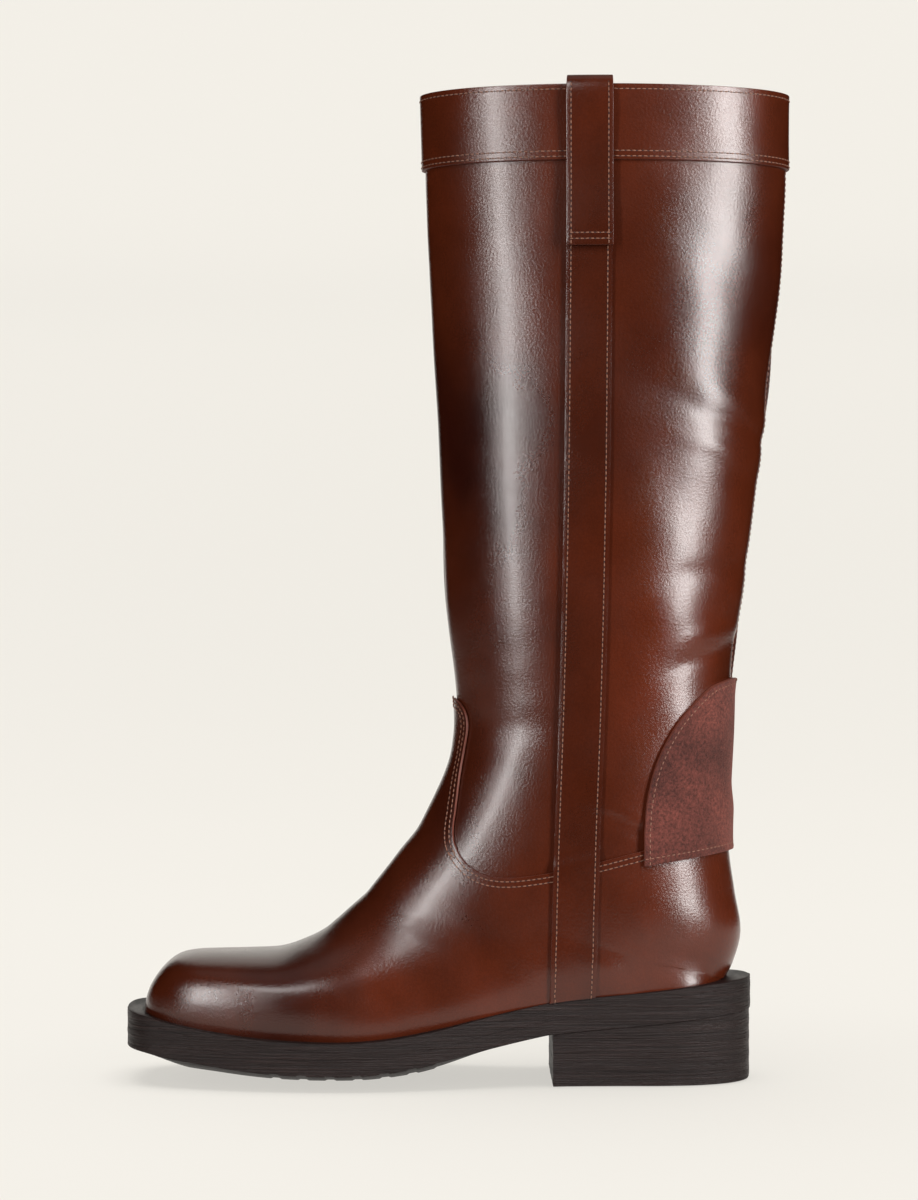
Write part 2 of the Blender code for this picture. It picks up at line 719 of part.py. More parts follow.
def drill(obj, radius, head=None):
    """Cuts the nails' clearance holes through a layer."""
    mesh = bpy.data.meshes.new("nail_drill")
    bm = bmesh.new()
    for x, y in nail_places():
        ring = bmesh.ops.create_cone(
            bm, cap_ends=True, segments=12, radius1=radius * MM,
            radius2=radius * MM, depth=0.08)
        bmesh.ops.translate(bm, verts=ring["verts"],
                            vec=Vector((x, y, 30.0)) * MM)
    bm.to_mesh(mesh)
    bm.free()
    cutter = bpy.data.objects.new(obj.name + "_drill", mesh)
    bpy.context.scene.collection.objects.link(cutter)
    cutter.hide_render = True
    cutter.display_type = "WIRE"
    cut = obj.modifiers.new("nail_holes", "BOOLEAN")
    cut.operation = "DIFFERENCE"
    cut.solver = "EXACT"
    cut.object = cutter
    return obj


EDGE = Outline(SOLE_OUTER, INNER_RUN)
SOLE_ROWS = end_spaced(EDGE.low + 0.02, EDGE.high - 0.02, 33)
WELT_LOW = WELT_T
MID_TOP = WELT_T + GAP + 0.2
MID_LOW = MID_TOP + MIDSOLE_T
OUT_TOP = MID_LOW + GAP + 0.2


def ring_points(inset, rows):
    """Outline points from the heel along the outer side and back."""
    outer = inset_line(SOLE_OUTER, inset, -1)
    inner = inset_line(INNER_RUN, inset, -1)
    pick = np.linspace(0, 400, rows).astype(int)
    return np.concatenate([outer[pick][:-1], inner[pick][:-1]])


def welt():
    """The leather strip round the edge that carries the sole."""
    outside = ring_points(0.0, 31)
    inside = ring_points(14.0, 31)
    count = len(outside)
    points = []
    for drop in (0.0, WELT_LOW):
        for ring in (outside, inside):
            points += [(x, y, float(sole_top(x)) - drop) for x, y in ring]
    faces = []
    for k in range(count):
        n = (k + 1) % count
        for a, b in ((0, 1), (2, 3), (0, 2), (1, 3)):
            low, high = a * count, b * count
            faces += [(low + k, low + n, high + n), (low + k, high + n, high + k)]
    return finish("welt", "sole", points, faces)


welt()
slab("midsole", "sole", EDGE.widths, SOLE_ROWS,
     lambda x, y: sole_top(x) - MID_TOP, lambda x, y: sole_top(x) - MID_LOW)

# tread: bars under the forepart, crowned so that the middle meets the ground
BAR_STEP = 12.0
BAR_EDGE = 1.1
BAR_DEPTH = 1.8
TREAD_FRONT = -139.0
TREAD_BACK = 5.0


def bar_rows():
    """x of the bars' edges: groove, rise, bar, fall."""
    rows = []
    x = TREAD_FRONT
    while x + BAR_STEP < TREAD_BACK:
        rows += [x, x + BAR_EDGE, x + 8.0, x + 8.0 + BAR_EDGE]
        x += BAR_STEP
    return rows, x


BARS, BAR_END = bar_rows()


def sole_edge_low(x):
    """Height of the outsole's lower edge."""
    return sole_top(x) - STACK - 1.6 * ramp(-x, 105.0, 145.0)


def tread(x, y):
    """Height of the outsole's underside."""
    low, high = EDGE.widths(x)
    edge = float(sole_edge_low(x))
    if x > BREAST_X:
        return edge
    half = low if y < 0 else high
    crown = 1.0 - min(abs(y / half), 1.0) ** 2.2
    level = edge - min(6.6, edge - 0.0) * crown * float(
        ramp(-x, -38.0, 20.0) * (1 - ramp(-x, 118.0, 147.0)))
    level = max(level, 0.0)
    if TREAD_FRONT < x < BAR_END:
        phase = (x - TREAD_FRONT) % BAR_STEP
        if phase < 1e-6 or phase > 8.0 + BAR_EDGE - 1e-6:
            level += BAR_DEPTH
    else:
        level += BAR_DEPTH
    return level


out_rows = [EDGE.low + 0.02, -147.6, -146.0, -143.0]
out_rows += BARS
out_rows += [BAR_END + 6.0, 16.0, 26.0, 36.0, BREAST_X, BREAST_X + 0.2, 52.0]
out_rows += [64.0, 76.0, 88.0, 98.0, 107.0, 114.0, 120.0, 125.0, 128.5, 130.3,
             EDGE.high - 0.02]
out_rows = sorted(set(out_rows))
outsole = slab("outsole", "rubber", EDGE.widths, out_rows,
               lambda x, y: sole_top(x) - OUT_TOP, tread, columns=7)
drill(outsole, NAIL_HEAD_R + GAP)

# inside the sole
SEAT = Outline(SOLE_OUTER, INNER_RUN, 14.6)
slab("cork_filler", "cork", SEAT.widths,
     end_spaced(SEAT.low + 0.3, -14.0, 15),
     lambda x, y: sole_top(x) - 0.1, lambda x, y: sole_top(x) - WELT_LOW + 0.1,
     columns=3)
slab("shank", "steel",
     lambda x: (-6.5 - 1.5 * math.cos(x / 30.0), 6.5 + 1.5 * math.cos(x / 30.0)),
     np.linspace(-9.0, 84.0, 15),
     lambda x, y: sole_top(x) - 1.0, lambda x, y: sole_top(x) - 2.7, columns=3)
BOARD = Outline(FEATHER_OUTER, FEATHER_INNER, 5.6)
slab("insole_board", "board", BOARD.widths,
     end_spaced(BOARD.low + 0.05, BOARD.high - 0.05, 27),
     lambda x, y: sole_top(x) + GAP + 2.5, lambda x, y: sole_top(x) + GAP)
SOCK = Outline(FEATHER_OUTER, FEATHER_INNER, 6.4)
slab("sock_liner", "lining", SOCK.widths,
     end_spaced(SOCK.low + 0.05, SOCK.high - 0.05, 27),
     lambda x, y: sole_top(x) + 2 * GAP + 3.7,
     lambda x, y: sole_top(x) + 2 * GAP + 2.5)

# heel: a wedge under the seat, three lifts and a rubber top lift
HEEL = Outline(SOLE_OUTER, INNER_RUN, 0.5)
HEEL_ROWS = [BREAST_X, 55.0, 70.0, 84.0, 96.0, 106.0, 113.0, 119.0, 124.0,
             127.5, 129.6, HEEL.high - 0.02]
levels = [TOP_LIFT_T + GAP]
for k in range(3):
    low = levels[-1]
    high = low + LIFT_T
    lift = slab("heel_lift_%d" % (k + 1), "stack", HEEL.widths, HEEL_ROWS,
                lambda x, y, h=high: h, lambda x, y, w=low: w, columns=3)
    if k > 0:
        drill(lift, NAIL_R + GAP)
    levels.append(high + GAP)
wedge = slab("heel_wedge", "stack", HEEL.widths, HEEL_ROWS,
             lambda x, y: sole_edge_low(x) - GAP,
             lambda x, y: levels[-1], columns=3)
drill(wedge, NAIL_R + GAP)
slab("top_lift", "rubber", HEEL.widths, HEEL_ROWS,
     lambda x, y: TOP_LIFT_T, lambda x, y: 0.0, columns=3)


def nail(name, x, y):
    """A flat-headed nail from the outsole's seat down into the lifts."""
    top = nail_top(x)
    under = float(sole_edge_low(x - NAIL_HEAD_R)) + 2.5
    rings = [(NAIL_HEAD_R, top), (NAIL_HEAD_R, under), (NAIL_R, under),
             (NAIL_R, NAIL_TIP_Z + 3.0), (0.3, NAIL_TIP_Z)]
    sides = 10
    points, faces = [], []
    for radius, z in rings:
        for k in range(sides):
            a = 2 * math.pi * k / sides
            points.append((x + radius * math.cos(a), y + radius * math.sin(a), z))
    for r in range(len(rings) - 1):
        for k in range(sides):
            a, b = r * sides + k, r * sides + (k + 1) % sides
            faces.append((a, b, b + sides, a + sides))
    faces.append(tuple(range(sides)))
    faces.append(tuple(range((len(rings) - 1) * sides, len(rings) * sides)))
    return finish(name, "steel", points, faces)


for k, (x, y) in enumerate(nail_places()):
    nail("heel_nail_%d" % (k + 1), x, y)
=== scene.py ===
"""The looks of a tall pull-on riding boot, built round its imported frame."""
import math

import bmesh
import bpy
import numpy as np
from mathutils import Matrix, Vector


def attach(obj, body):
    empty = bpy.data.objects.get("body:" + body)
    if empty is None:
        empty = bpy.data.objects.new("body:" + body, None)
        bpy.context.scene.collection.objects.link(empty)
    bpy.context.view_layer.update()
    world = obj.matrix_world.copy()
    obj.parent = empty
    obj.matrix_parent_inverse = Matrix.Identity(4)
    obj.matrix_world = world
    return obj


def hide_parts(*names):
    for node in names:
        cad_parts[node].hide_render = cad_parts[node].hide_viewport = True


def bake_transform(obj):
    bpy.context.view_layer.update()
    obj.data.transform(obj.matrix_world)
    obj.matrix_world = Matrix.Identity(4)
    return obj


bl_info = {
    "name": "Riding Boot",
    "version": (1, 0, 0),
    "blender": (4, 5, 0),
    "location": "View3D > Sidebar > Riding Boot",
    "description": "Leather, stitching and sole of a tall riding boot",
    "category": "Add Mesh",
}

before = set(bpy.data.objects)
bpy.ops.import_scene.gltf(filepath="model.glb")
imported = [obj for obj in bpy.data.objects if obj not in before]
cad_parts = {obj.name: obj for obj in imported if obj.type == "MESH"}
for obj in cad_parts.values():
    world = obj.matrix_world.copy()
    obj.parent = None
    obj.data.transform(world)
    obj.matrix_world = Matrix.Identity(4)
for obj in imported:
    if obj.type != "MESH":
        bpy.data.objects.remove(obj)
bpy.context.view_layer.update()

MM = 0.001
GAP = 0.3
LEATHER = 1.8
LINING = 1.1
CLEAR = GAP + 0.2
VAMP_T = 1.15                # vamp and foxing, skived towards their edges
RIM_Z = 440.0
BAND_LOW_Z = 406.7
BAND_T = 1.2
SINK = 0.4                   # how far a piece reaches into the one below it
SEAM_GAP = 0.0015            # half the gap between two panels, in v
PANEL_LOW = -1.2             # underside of the leg's panels
PANEL_STEP = 2.6             # row spacing of the leg's panels
FOOT_STEP = 2.4              # row spacing of the vamp and foxing
SEAM_ROWS = (1.7, 4.0)       # stitch rows beside the seam of vamp and foxing
STRAP_SEAM = 2.0             # stitch rows in from a strap's edge
BACK_SEAM = 1.5              # stitch row beside the back seam
SIDES = (("outer", 1), ("inner", -1))
STRAP_HALF = 10.0
STRAP_X = 57.4
SPLIT = 0.004
BREAST_X = 41.3
STACK = 14.6

# Stations of the lasted surface, mouth to toe tip:
# ridge x, z | end x, z | half width outer, inner | end/half width | roundness
STATIONS = np.array([
    (-16.0, 440.0, 146.9, 440.0, 38.0, 38.0, 0.00, 1.00),
    (-14.0, 375.0, 145.5, 375.0, 39.5, 39.5, 0.00, 1.00),
    (-9.9, 300.0, 137.8, 300.0, 40.0, 40.0, 0.00, 1.00),
    (-7.6, 250.0, 131.6, 250.0, 39.5, 39.5, 0.00, 0.98),
    (-5.9, 213.0, 126.9, 213.0, 38.5, 38.5, 0.00, 0.97),
    (-1.6, 177.0, 122.3, 179.0, 37.0, 37.0, 0.00, 0.95),
    (-0.9, 158.0, 121.0, 152.0, 36.0, 36.0, 0.00, 0.92),
    (-3.2, 141.0, 120.0, 126.0, 35.5, 35.5, 0.00, 0.90),
    (-9.4, 125.8, 119.6, 103.0, 35.5, 35.5, 0.00, 0.88),
    (-17.5, 111.0, 122.2, 83.0, 35.5, 35.5, 0.00, 0.86),
    (-26.0, 100.0, 124.8, 64.0, 35.5, 35.0, 0.00, 0.85),
    (-33.5, 90.3, 118.5, 45.7, 35.5, 35.0, 0.00, 0.85),
    (-37.0, 85.8, 114.0, 44.7, 35.6, 34.5, 0.44, 0.85),
    (-40.5, 81.3, 102.5, 43.5, 35.8, 34.0, 0.74, 0.85),
    (-44.2, 77.8, 80.0, 40.8, 36.0, 34.0, 0.85, 0.86),
    (-48.7, 73.8, 50.0, 38.0, 36.5, 34.0, 0.90, 0.88),
    (-53.7, 69.3, 18.0, 32.6, 38.5, 33.5, 0.93, 0.88),
    (-59.8, 64.4, -14.0, 25.4, 42.0, 35.5, 0.95, 0.86),
    (-68.3, 60.0, -44.0, 21.3, 45.5, 40.0, 0.97, 0.82),
    (-80.0, 56.0, -70.0, 21.6, 45.3, 42.3, 0.97, 0.78),
    (-95.0, 55.1, -93.0, 23.2, 42.3, 40.6, 0.97, 0.75),
    (-108.0, 54.8, -109.0, 25.3, 38.8, 37.8, 0.97, 0.73),
    (-118.0, 54.4, -121.0, 27.3, 35.4, 34.8, 0.97, 0.72),
    (-125.5, 52.8, -129.0, 29.1, 31.6, 31.3, 0.97, 0.72),
    (-131.5, 48.2, -134.3, 30.5, 26.4, 26.4, 0.97, 0.74),
    (-136.0, 42.0, -137.5, 31.3, 18.6, 18.6, 0.97, 0.80),
    (-138.2, 36.6, -138.6, 31.5, 9.8, 9.8, 0.97, 0.90),
    (-138.8, 34.0, -138.8, 31.5, 0.0, 0.0, 0.97, 1.00),
])
LAST = len(STATIONS) - 1
HEEL_CORNER = 11.0           # u where the back seam ends at the sole

# Sole edge seen from above: outer side from heel back to toe tip, then back.
SOLE_OUTER = [
    (131.0, 0.0), (128.4, -13.0), (120.5, -23.8), (107.0, -31.0),
    (90.0, -33.7), (70.0, -34.0), (45.0, -35.2), (20.0, -39.3),
    (-5.0, -45.3), (-30.0, -50.4), (-55.0, -52.0), (-80.0, -50.4),
    (-103.0, -46.2), (-122.0, -40.5), (-136.0, -34.6), (-144.0, -26.5),
    (-147.6, -14.0), (-148.4, 0.0),
]
SOLE_INNER = [
    (-147.6, 14.0), (-144.0, 26.0), (-136.0, 33.8), (-122.0, 39.4),
    (-103.0, 44.2), (-80.0, 47.5), (-60.0, 47.9), (-35.0, 45.2),
    (-10.0, 39.4), (15.0, 34.4), (40.0, 32.6), (65.0, 33.2),
    (88.0, 33.6), (107.0, 31.0), (120.5, 23.8), (128.4, 13.0),
]
# Height of the sole's top edge along the boot.
SOLE_TOP = [
    (-148.4, 32.2), (-138.5, 30.8), (-127.3, 28.2), (-111.3, 25.3),
    (-90.0, 22.6), (-69.5, 21.3), (-49.0, 21.0), (-28.7, 22.6), (-8.3, 26.2),
    (9.2, 30.3), (29.7, 34.8), (45.0, 37.6), (66.0, 39.6), (86.9, 41.5),
    (106.0, 43.6), (119.0, 44.9), (131.0, 45.7),
]

# Side-view lines on the upper (x, z).
VAMP_SEAM = [
    (-3.5, 170.5), (0.5, 168.5), (3.6, 163.5), (4.2, 156.0), (2.6, 145.0),
    (0.0, 128.0), (-2.2, 112.0), (-0.8, 103.5), (4.5, 96.5), (12.0, 92.6),
    (22.0, 91.6), (36.0, 93.2), (51.5, 96.0),
]
FOXING_SEAM = [
    (51.5, 96.0), (64.0, 99.3), (82.0, 103.8), (100.0, 107.8), (121.5, 112.0),
]
STRAP_LINE = [
    (57.5, 440.0), (57.2, 374.0), (56.2, 268.0), (54.2, 170.0),
    (51.5, 95.0), (50.0, 36.0),
]
SPUR_EDGE = [
    (123.4, 179.2), (117.0, 177.6), (110.0, 174.4), (101.0, 165.8),
    (94.0, 156.5), (87.2, 143.0), (83.2, 129.0), (81.2, 112.6), (81.0, 96.8),
]
SPUR_FOOT_Z = (96.8, 103.0)  # lower edge at its front corner and at the back


# ------------------------------------------------------------ curve helpers
def spline(table, place):
    """Catmull-Rom value of a table's rows at a fractional row number."""
    rows = np.asarray(table, dtype=float)
    place = np.clip(np.asarray(place, dtype=float), 0.0, len(rows) - 1.0)
    k = np.minimum(place.astype(int), len(rows) - 2)
    t = (place - k)[..., None]
    before = np.where((k > 0)[..., None], rows[np.maximum(k - 1, 0)],
                      2 * rows[k] - rows[k + 1])
    after = np.where((k + 2 < len(rows))[..., None],
                     rows[np.minimum(k + 2, len(rows) - 1)],
                     2 * rows[k + 1] - rows[k])
    a, b = rows[k], rows[k + 1]
    return 0.5 * (2 * a + (b - before) * t
                  + (2 * before - 5 * a + 4 * b - after) * t ** 2
                  + (3 * a - before - 3 * b + after) * t ** 3)


def smooth_line(points, count):
    """A smooth run of count points through the given ones."""
    return spline(points, np.linspace(0, len(points) - 1, count))


def ramp(x, low, high):
    """0 below low, 1 above high, eased between."""
    t = np.clip((x - low) / (high - low), 0.0, 1.0)
    return t * t * (3 - 2 * t)


SOLE_LINE = smooth_line(SOLE_TOP, 241)


def sole_top(x):
    return np.interp(x, SOLE_LINE[:, 0], SOLE_LINE[:, 1])


# ---------------------------------------------------------- lasted surface
def section(u, v):
    """Where the chord parameter and the half width stand at (u, v)."""
    row = spline(STATIONS, u)
    row[..., 3] = np.where(np.asarray(u) >= HEEL_CORNER,
                           sole_top(row[..., 2]) + 0.7, row[..., 3])
    width = np.where(v >= 0, row[..., 4], row[..., 5])
    ratio = np.clip(row[..., 6], 0.0, 0.985)
    power = row[..., 7]
    end = math.pi - np.arcsin(ratio ** (1 / power))
    angle = np.abs(v) * end
    cosine = np.cos(angle)
    along = 1 - np.sign(cosine) * np.abs(cosine) ** power
    whole = 1 + np.abs(np.cos(end)) ** power
    out = np.maximum(width, 0.0) * np.abs(np.sin(angle)) ** power
    return row, along / whole, out


def surface(u, v):
    """The lasted surface in millimetres."""
    u = np.asarray(u, dtype=float)
    v = np.asarray(v, dtype=float)
    row, along, out = section(u, v)
    x = row[..., 0] + (row[..., 2] - row[..., 0]) * along
    z = row[..., 1] + (row[..., 3] - row[..., 1]) * along
    y = -np.sign(v) * out
    return np.stack([x, y, z], axis=-1)


def normal(u, v):
    """Outward unit normal, level across the ridge and the back seam."""
    u = np.asarray(u, dtype=float)
    v = np.asarray(v, dtype=float)
    du, dv = 0.04, 0.012
    side = np.where(v < 0, -1.0, 1.0)
    w = np.abs(v)
    high_u = np.minimum(u + du, LAST - 0.001)
    low_u = np.maximum(high_u - 2 * du, 0.0)
    high_v = np.minimum(w + dv, 1.0)
    low_v = np.maximum(high_v - 2 * dv, 0.0)
    along_u = surface(high_u, v) - surface(low_u, v)
    along_v = surface(u, side * high_v) - surface(u, side * low_v)
    n = np.cross(along_u, along_v) * side[..., None]
    length = np.linalg.norm(n, axis=-1, keepdims=True)
    n = n / np.maximum(length, 1e-9)
    centre = (w < 1e-6) | ((w > 1 - 1e-6) & (u <= HEEL_CORNER + 1e-6))
    centre = centre | (u > LAST - 1e-6)
    n[..., 1] = np.where(centre, 0.0, n[..., 1])
    n = n / np.maximum(np.linalg.norm(n, axis=-1, keepdims=True), 1e-9)
    tip = u > LAST - 1e-6
    n[tip] = (-1.0, 0.0, 0.0)
    return n


def locate(x, z, side):
    """(u, v) of the surface point that stands at (x, z) seen from the side."""
    places = np.linspace(0.0, LAST, 1301)
    row = section(places, np.zeros(1301))[0]
    fx, fz, ex, ez = (row[:, k] for k in range(4))
    across = (ex - fx) * (z - fz) - (ez - fz) * (x - fx)
    share = ((x - fx) * (ex - fx) + (z - fz) * (ez - fz)) / np.maximum(
        (ex - fx) ** 2 + (ez - fz) ** 2, 1e-9)
    near = np.flatnonzero((across[:-1] <= 0) & (across[1:] > 0)
                          & (share[:-1] > -0.05) & (share[:-1] < 1.05))
    if len(near):
        k = near[0]
        u = places[k] + (places[k + 1] - places[k]) * (
            -across[k] / (across[k + 1] - across[k]))
        at = min(max(share[k], 0.0), 1.0)
    else:
        k = int(np.argmin(np.abs(across) + 1e3 * (share < -0.05)
                          + 1e3 * (share > 1.05)))
        u = places[k]
        at = min(max(share[k], 0.0), 1.0)
    tries = np.linspace(0.0, 1.0, 801)
    _, along, _ = section(np.full(801, u), tries * side)
    return float(u), float(np.interp(at, along, tries)) * side


def located_line(points, count, side=1):
    """A side-view line as rows of (u, |v|)."""
    line = smooth_line(points, count)
    found = np.array([locate(x, z, side) for x, z in line])
    return found[:, 0], np.abs(found[:, 1])


def seam_table():
    """u of the line where vamp and heel foxing end, against |v|."""
    u1, v1 = located_line(VAMP_SEAM, 49)
    u2, v2 = located_line(FOXING_SEAM, 17)
    v1[0] = 0.0
    v2[-1] = 1.0
    v = np.concatenate([v1, v2[1:]])
    u = np.concatenate([u1, u2[1:]])
    order = np.maximum.accumulate(v + np.arange(len(v)) * 1e-7)
    return order, u


SEAM_V, SEAM_U = seam_table()


def strap_table():
    """|v| of the side strap's middle line against u."""
    u, v = located_line(STRAP_LINE, 61)
    keep = np.concatenate([[True], np.diff(u) > 1e-6])
    return u[keep], v[keep]


STRAP_U, STRAP_V = strap_table()
STRAP_FOOT_U = float(STRAP_U[-1])


def seam_u(v):
    return np.interp(np.abs(v), SEAM_V, SEAM_U)


def strap_v(u):
    return np.interp(u, STRAP_U, STRAP_V)


TONGUE_END = 9.3             # u where the tongue turns into the level seam


def tongue_table():
    """Half width of the vamp's tongue in v, against u."""
    u, v = located_line(VAMP_SEAM, 193)
    v[0] = 0.0
    keep = [0]
    for k in range(1, len(u)):
        if u[k] > u[keep[-1]] + 1e-4 and u[k] <= TONGUE_END:
            keep.append(k)
        elif u[k] > TONGUE_END:
            break
    return u[keep], v[keep]


TONGUE_U, TONGUE_V = tongue_table()


def strap_edge(u, stop=SPLIT):
    if u >= STRAP_FOOT_U - 1e-6:
        return 1.0
    return min(float(strap_v(u)) - stop, 1.0)


# ------------------------------------------------------------ leather relief
# Creases: x, z, length, width, depth, slope of the fold, side (0 is both).
CREASES = [
    (128.0, 289.0, 26.0, 3.2, 0.9, -0.35, 1),
    (118.0, 279.0, 20.0, 3.6, -0.6, -0.30, 1),
    (126.0, 300.0, 22.0, 4.0, -0.5, -0.40, 1),
    (108.0, 188.0, 16.0, 2.6, 0.7, 0.45, 1),
    (112.0, 199.0, 18.0, 3.4, -0.5, 0.35, 1),
    (74.0, 114.5, 15.0, 2.2, 0.6, -0.25, 1),
    (70.0, 121.0, 14.0, 3.0, -0.4, -0.30, 1),
    (120.0, 262.0, 24.0, 4.0, 0.6, 0.20, -1),
    (110.0, 226.0, 26.0, 5.0, 0.6, 0.25, 0),
    (18.0, 157.0, 26.0, 7.5, 0.6, 0.12, 0),
    (4.0, 145.0, 18.0, 5.0, 0.26, 0.30, 0),
    (-14.0, 112.0, 22.0, 4.2, 0.5, 0.75, 0),
    (-24.0, 96.0, 26.0, 4.6, 0.4, 0.80, 0),
    (16.0, 182.0, 18.0, 6.0, -0.2, 0.20, 0),
]


def relief(points, v):
    """How far worn leather stands off its last, in millimetres."""
    x, z = points[..., 0], points[..., 2]
    side = np.where(v >= 0, 1.0, -1.0)
    leg = ramp(z, 100.0, 190.0) * (1 - ramp(z, 380.0, 436.0))
    rear = ramp(x, 40.0, 110.0)
    wave = np.sin(0.071 * z + 0.045 * x + 1.1 * side)
    wave = wave * np.sin(0.030 * z - 0.062 * x + 0.7)
    small = np.sin(0.16 * z + 0.05 * x + 2.0 * side) * np.sin(0.09 * x - 0.8)
    rise = leg * (0.22 + 0.45 * rear) * wave + leg * 0.16 * rear * small
    for cx, cz, length, width, depth, slope, only in CREASES:
        if only == 0:
            here = 1.0
        else:
            here = np.where(side == only, 1.0, 0.0)
        run = 1.0 / math.hypot(1.0, slope)
        along = ((x - cx) + (z - cz) * slope) * run
        across = ((z - cz) - (x - cx) * slope) * run
        across = across + 0.05 * along + 0.9 * np.sin(along * 0.22)
        fold = np.exp(-(across / width) ** 2 - (along / length) ** 2)
        rise = rise - depth * here * fold
    return rise


HEEL_CENTRE_X = 62.0
HEEL_ROW = 10.6            # u of the last row above the turn of the heel


def heel_tables():
    """Per side: turn, then radius and height of the heel's row and edge."""
    tables = {}
    turn = np.radians(np.linspace(0.0, 90.0, 91))
    for side in (1.0, -1.0):
        lines = []
        share = np.linspace(0.3, 1.0, 201) * side
        edge = np.linspace(HEEL_CORNER, 16.5, 201)
        for u, v in ((np.full(201, HEEL_ROW), share),
                     (np.full(201, HEEL_ROW - 0.4), share),
                     (edge, np.full(201, side))):
            p = surface(u, v)
            x, y = p[:, 0] - HEEL_CENTRE_X, np.abs(p[:, 1])
            angle = np.arctan2(y, x)
            order = np.argsort(angle)
            lines.append(np.interp(turn, angle[order], np.hypot(x, y)[order]))
            lines.append(np.interp(turn, angle[order], p[order, 2]))
        slope = (lines[2] - lines[0]) / (lines[3] - lines[1])
        tables[side] = (turn, lines[0], lines[1], slope, lines[4], lines[5])
    return tables


HEEL_TABLES = heel_tables()


def round_heel(points, base, u, v, distance):
    """Turns the leather evenly under the back of the heel."""
    for side, table in HEEL_TABLES.items():
        turn, radius, height, slope, edge_radius, edge_height = table
        x, y = base[..., 0] - HEEL_CENTRE_X, np.abs(base[..., 1])
        angle = np.arctan2(y, x)
        top = np.interp(angle, turn, height)
        low = np.interp(angle, turn, edge_height)
        span = np.maximum(top - low, 1.0)
        t = np.clip((base[..., 2] - low) / span, 0.0, 1.0)
        r1 = np.interp(angle, turn, radius)
        r0 = np.interp(angle, turn, edge_radius)
        way = np.interp(angle, turn, slope)
        bend = r0 - r1 + way * span
        r = r1 - way * (1 - t) * span + bend * (1 - t) ** 2 + distance
        new = np.stack([HEEL_CENTRE_X + r * np.cos(angle),
                        -side * r * np.sin(angle), points[..., 2]], axis=-1)
        here = (u > HEEL_ROW) & (base[..., 2] < top) & (v * side > 0)
        share = here * (1 - ramp(angle, math.radians(66), math.radians(86)))
        points = points + (new - points) * share[..., None]
    return points


def skin_points(u, v, distance):
    """Points at a distance over the worn outer leather."""
    base = surface(u, v)
    lift = relief(base, np.asarray(v, dtype=float))
    distance = np.asarray(distance, dtype=float) + lift
    points = base + normal(u, v) * distance[..., None]
    points = round_heel(points, base, np.asarray(u), np.asarray(v), distance)
    foot = np.asarray(u) > HEEL_CORNER - 0.6
    seat = sole_top(points[..., 0]) + 0.05
    points[..., 2] = np.where(foot, np.maximum(points[..., 2], seat),
                              points[..., 2])
    feather = (np.asarray(u) >= HEEL_CORNER - 1e-6) & (np.abs(v) > 0.9999)
    points[..., 2] = np.where(feather, seat - 0.25, points[..., 2])
    return points


def lift_over(u, v, start=-0.45, full=-0.1):
    """How far a piece rises where vamp or foxing lies under it."""
    return (VAMP_T + GAP) * ramp(u - seam_u(v), start, full)


# ----------------------------------------------------------------- materials
def shader_mat(name):
    mat = bpy.data.materials.new(name)
    mat.use_nodes = True
    tree = mat.node_tree
    return mat, tree, tree.nodes["Principled BSDF"]


def add_node(tree, kind, **values):
    node = tree.nodes.new(kind)
    for key, value in values.items():
        setattr(node, key, value)
    return node


def noise(tree, scale, detail=4.0, rough=0.55, distortion=0.0, stretch=None):
    """A noise texture in object space, optionally stretched."""
    coords = add_node(tree, "ShaderNodeTexCoord")
    node = add_node(tree, "ShaderNodeTexNoise")
    node.inputs["Scale"].default_value = scale
    node.inputs["Detail"].default_value = detail
    node.inputs["Roughness"].default_value = rough
    node.inputs["Distortion"].default_value = distortion
    source = coords.outputs["Object"]
    if stretch is not None:
        mapping = add_node(tree, "ShaderNodeMapping")
        mapping.inputs["Scale"].default_value = stretch
        tree.links.new(source, mapping.inputs["Vector"])
        source = mapping.outputs["Vector"]
    tree.links.new(source, node.inputs["Vector"])
    return node.outputs["Fac"]


def ramp_node(tree, factor, stops):
    node = add_node(tree, "ShaderNodeValToRGB")
    while len(node.color_ramp.elements) < len(stops):
        node.color_ramp.elements.new(0.5)
    for element, (place, colour) in zip(node.color_ramp.elements, stops):
        element.position = place
        if not isinstance(colour, tuple):
            colour = (colour, colour, colour)
        element.color = (*colour, 1.0)
    tree.links.new(factor, node.inputs["Fac"])
    return node.outputs["Color"]


def blend_colours(tree, factor, a, b, mode="MIX"):
    node = add_node(tree, "ShaderNodeMix", data_type="RGBA", blend_type=mode)
    for socket, value in ((node.inputs[0], factor), (node.inputs[6], a),
                          (node.inputs[7], b)):
        if isinstance(value, (int, float)):
            socket.default_value = value
        elif isinstance(value, tuple):
            socket.default_value = (*value, 1.0)
        else:
            tree.links.new(value, socket)
    return node.outputs[2]


def bumps(tree, shader, layers):
    """Chains bump nodes: (height output, strength, distance in metres)."""
    last = None
    for height, strength, distance in layers:
        node = add_node(tree, "ShaderNodeBump")
        node.inputs["Strength"].default_value = strength
        node.inputs["Distance"].default_value = distance
        tree.links.new(height, node.inputs["Height"])
        if last is not None:
            tree.links.new(last, node.inputs["Normal"])
        last = node.outputs["Normal"]
    tree.links.new(last, shader.inputs["Normal"])


def darker(colour, share):
    return tuple(c * share for c in colour)


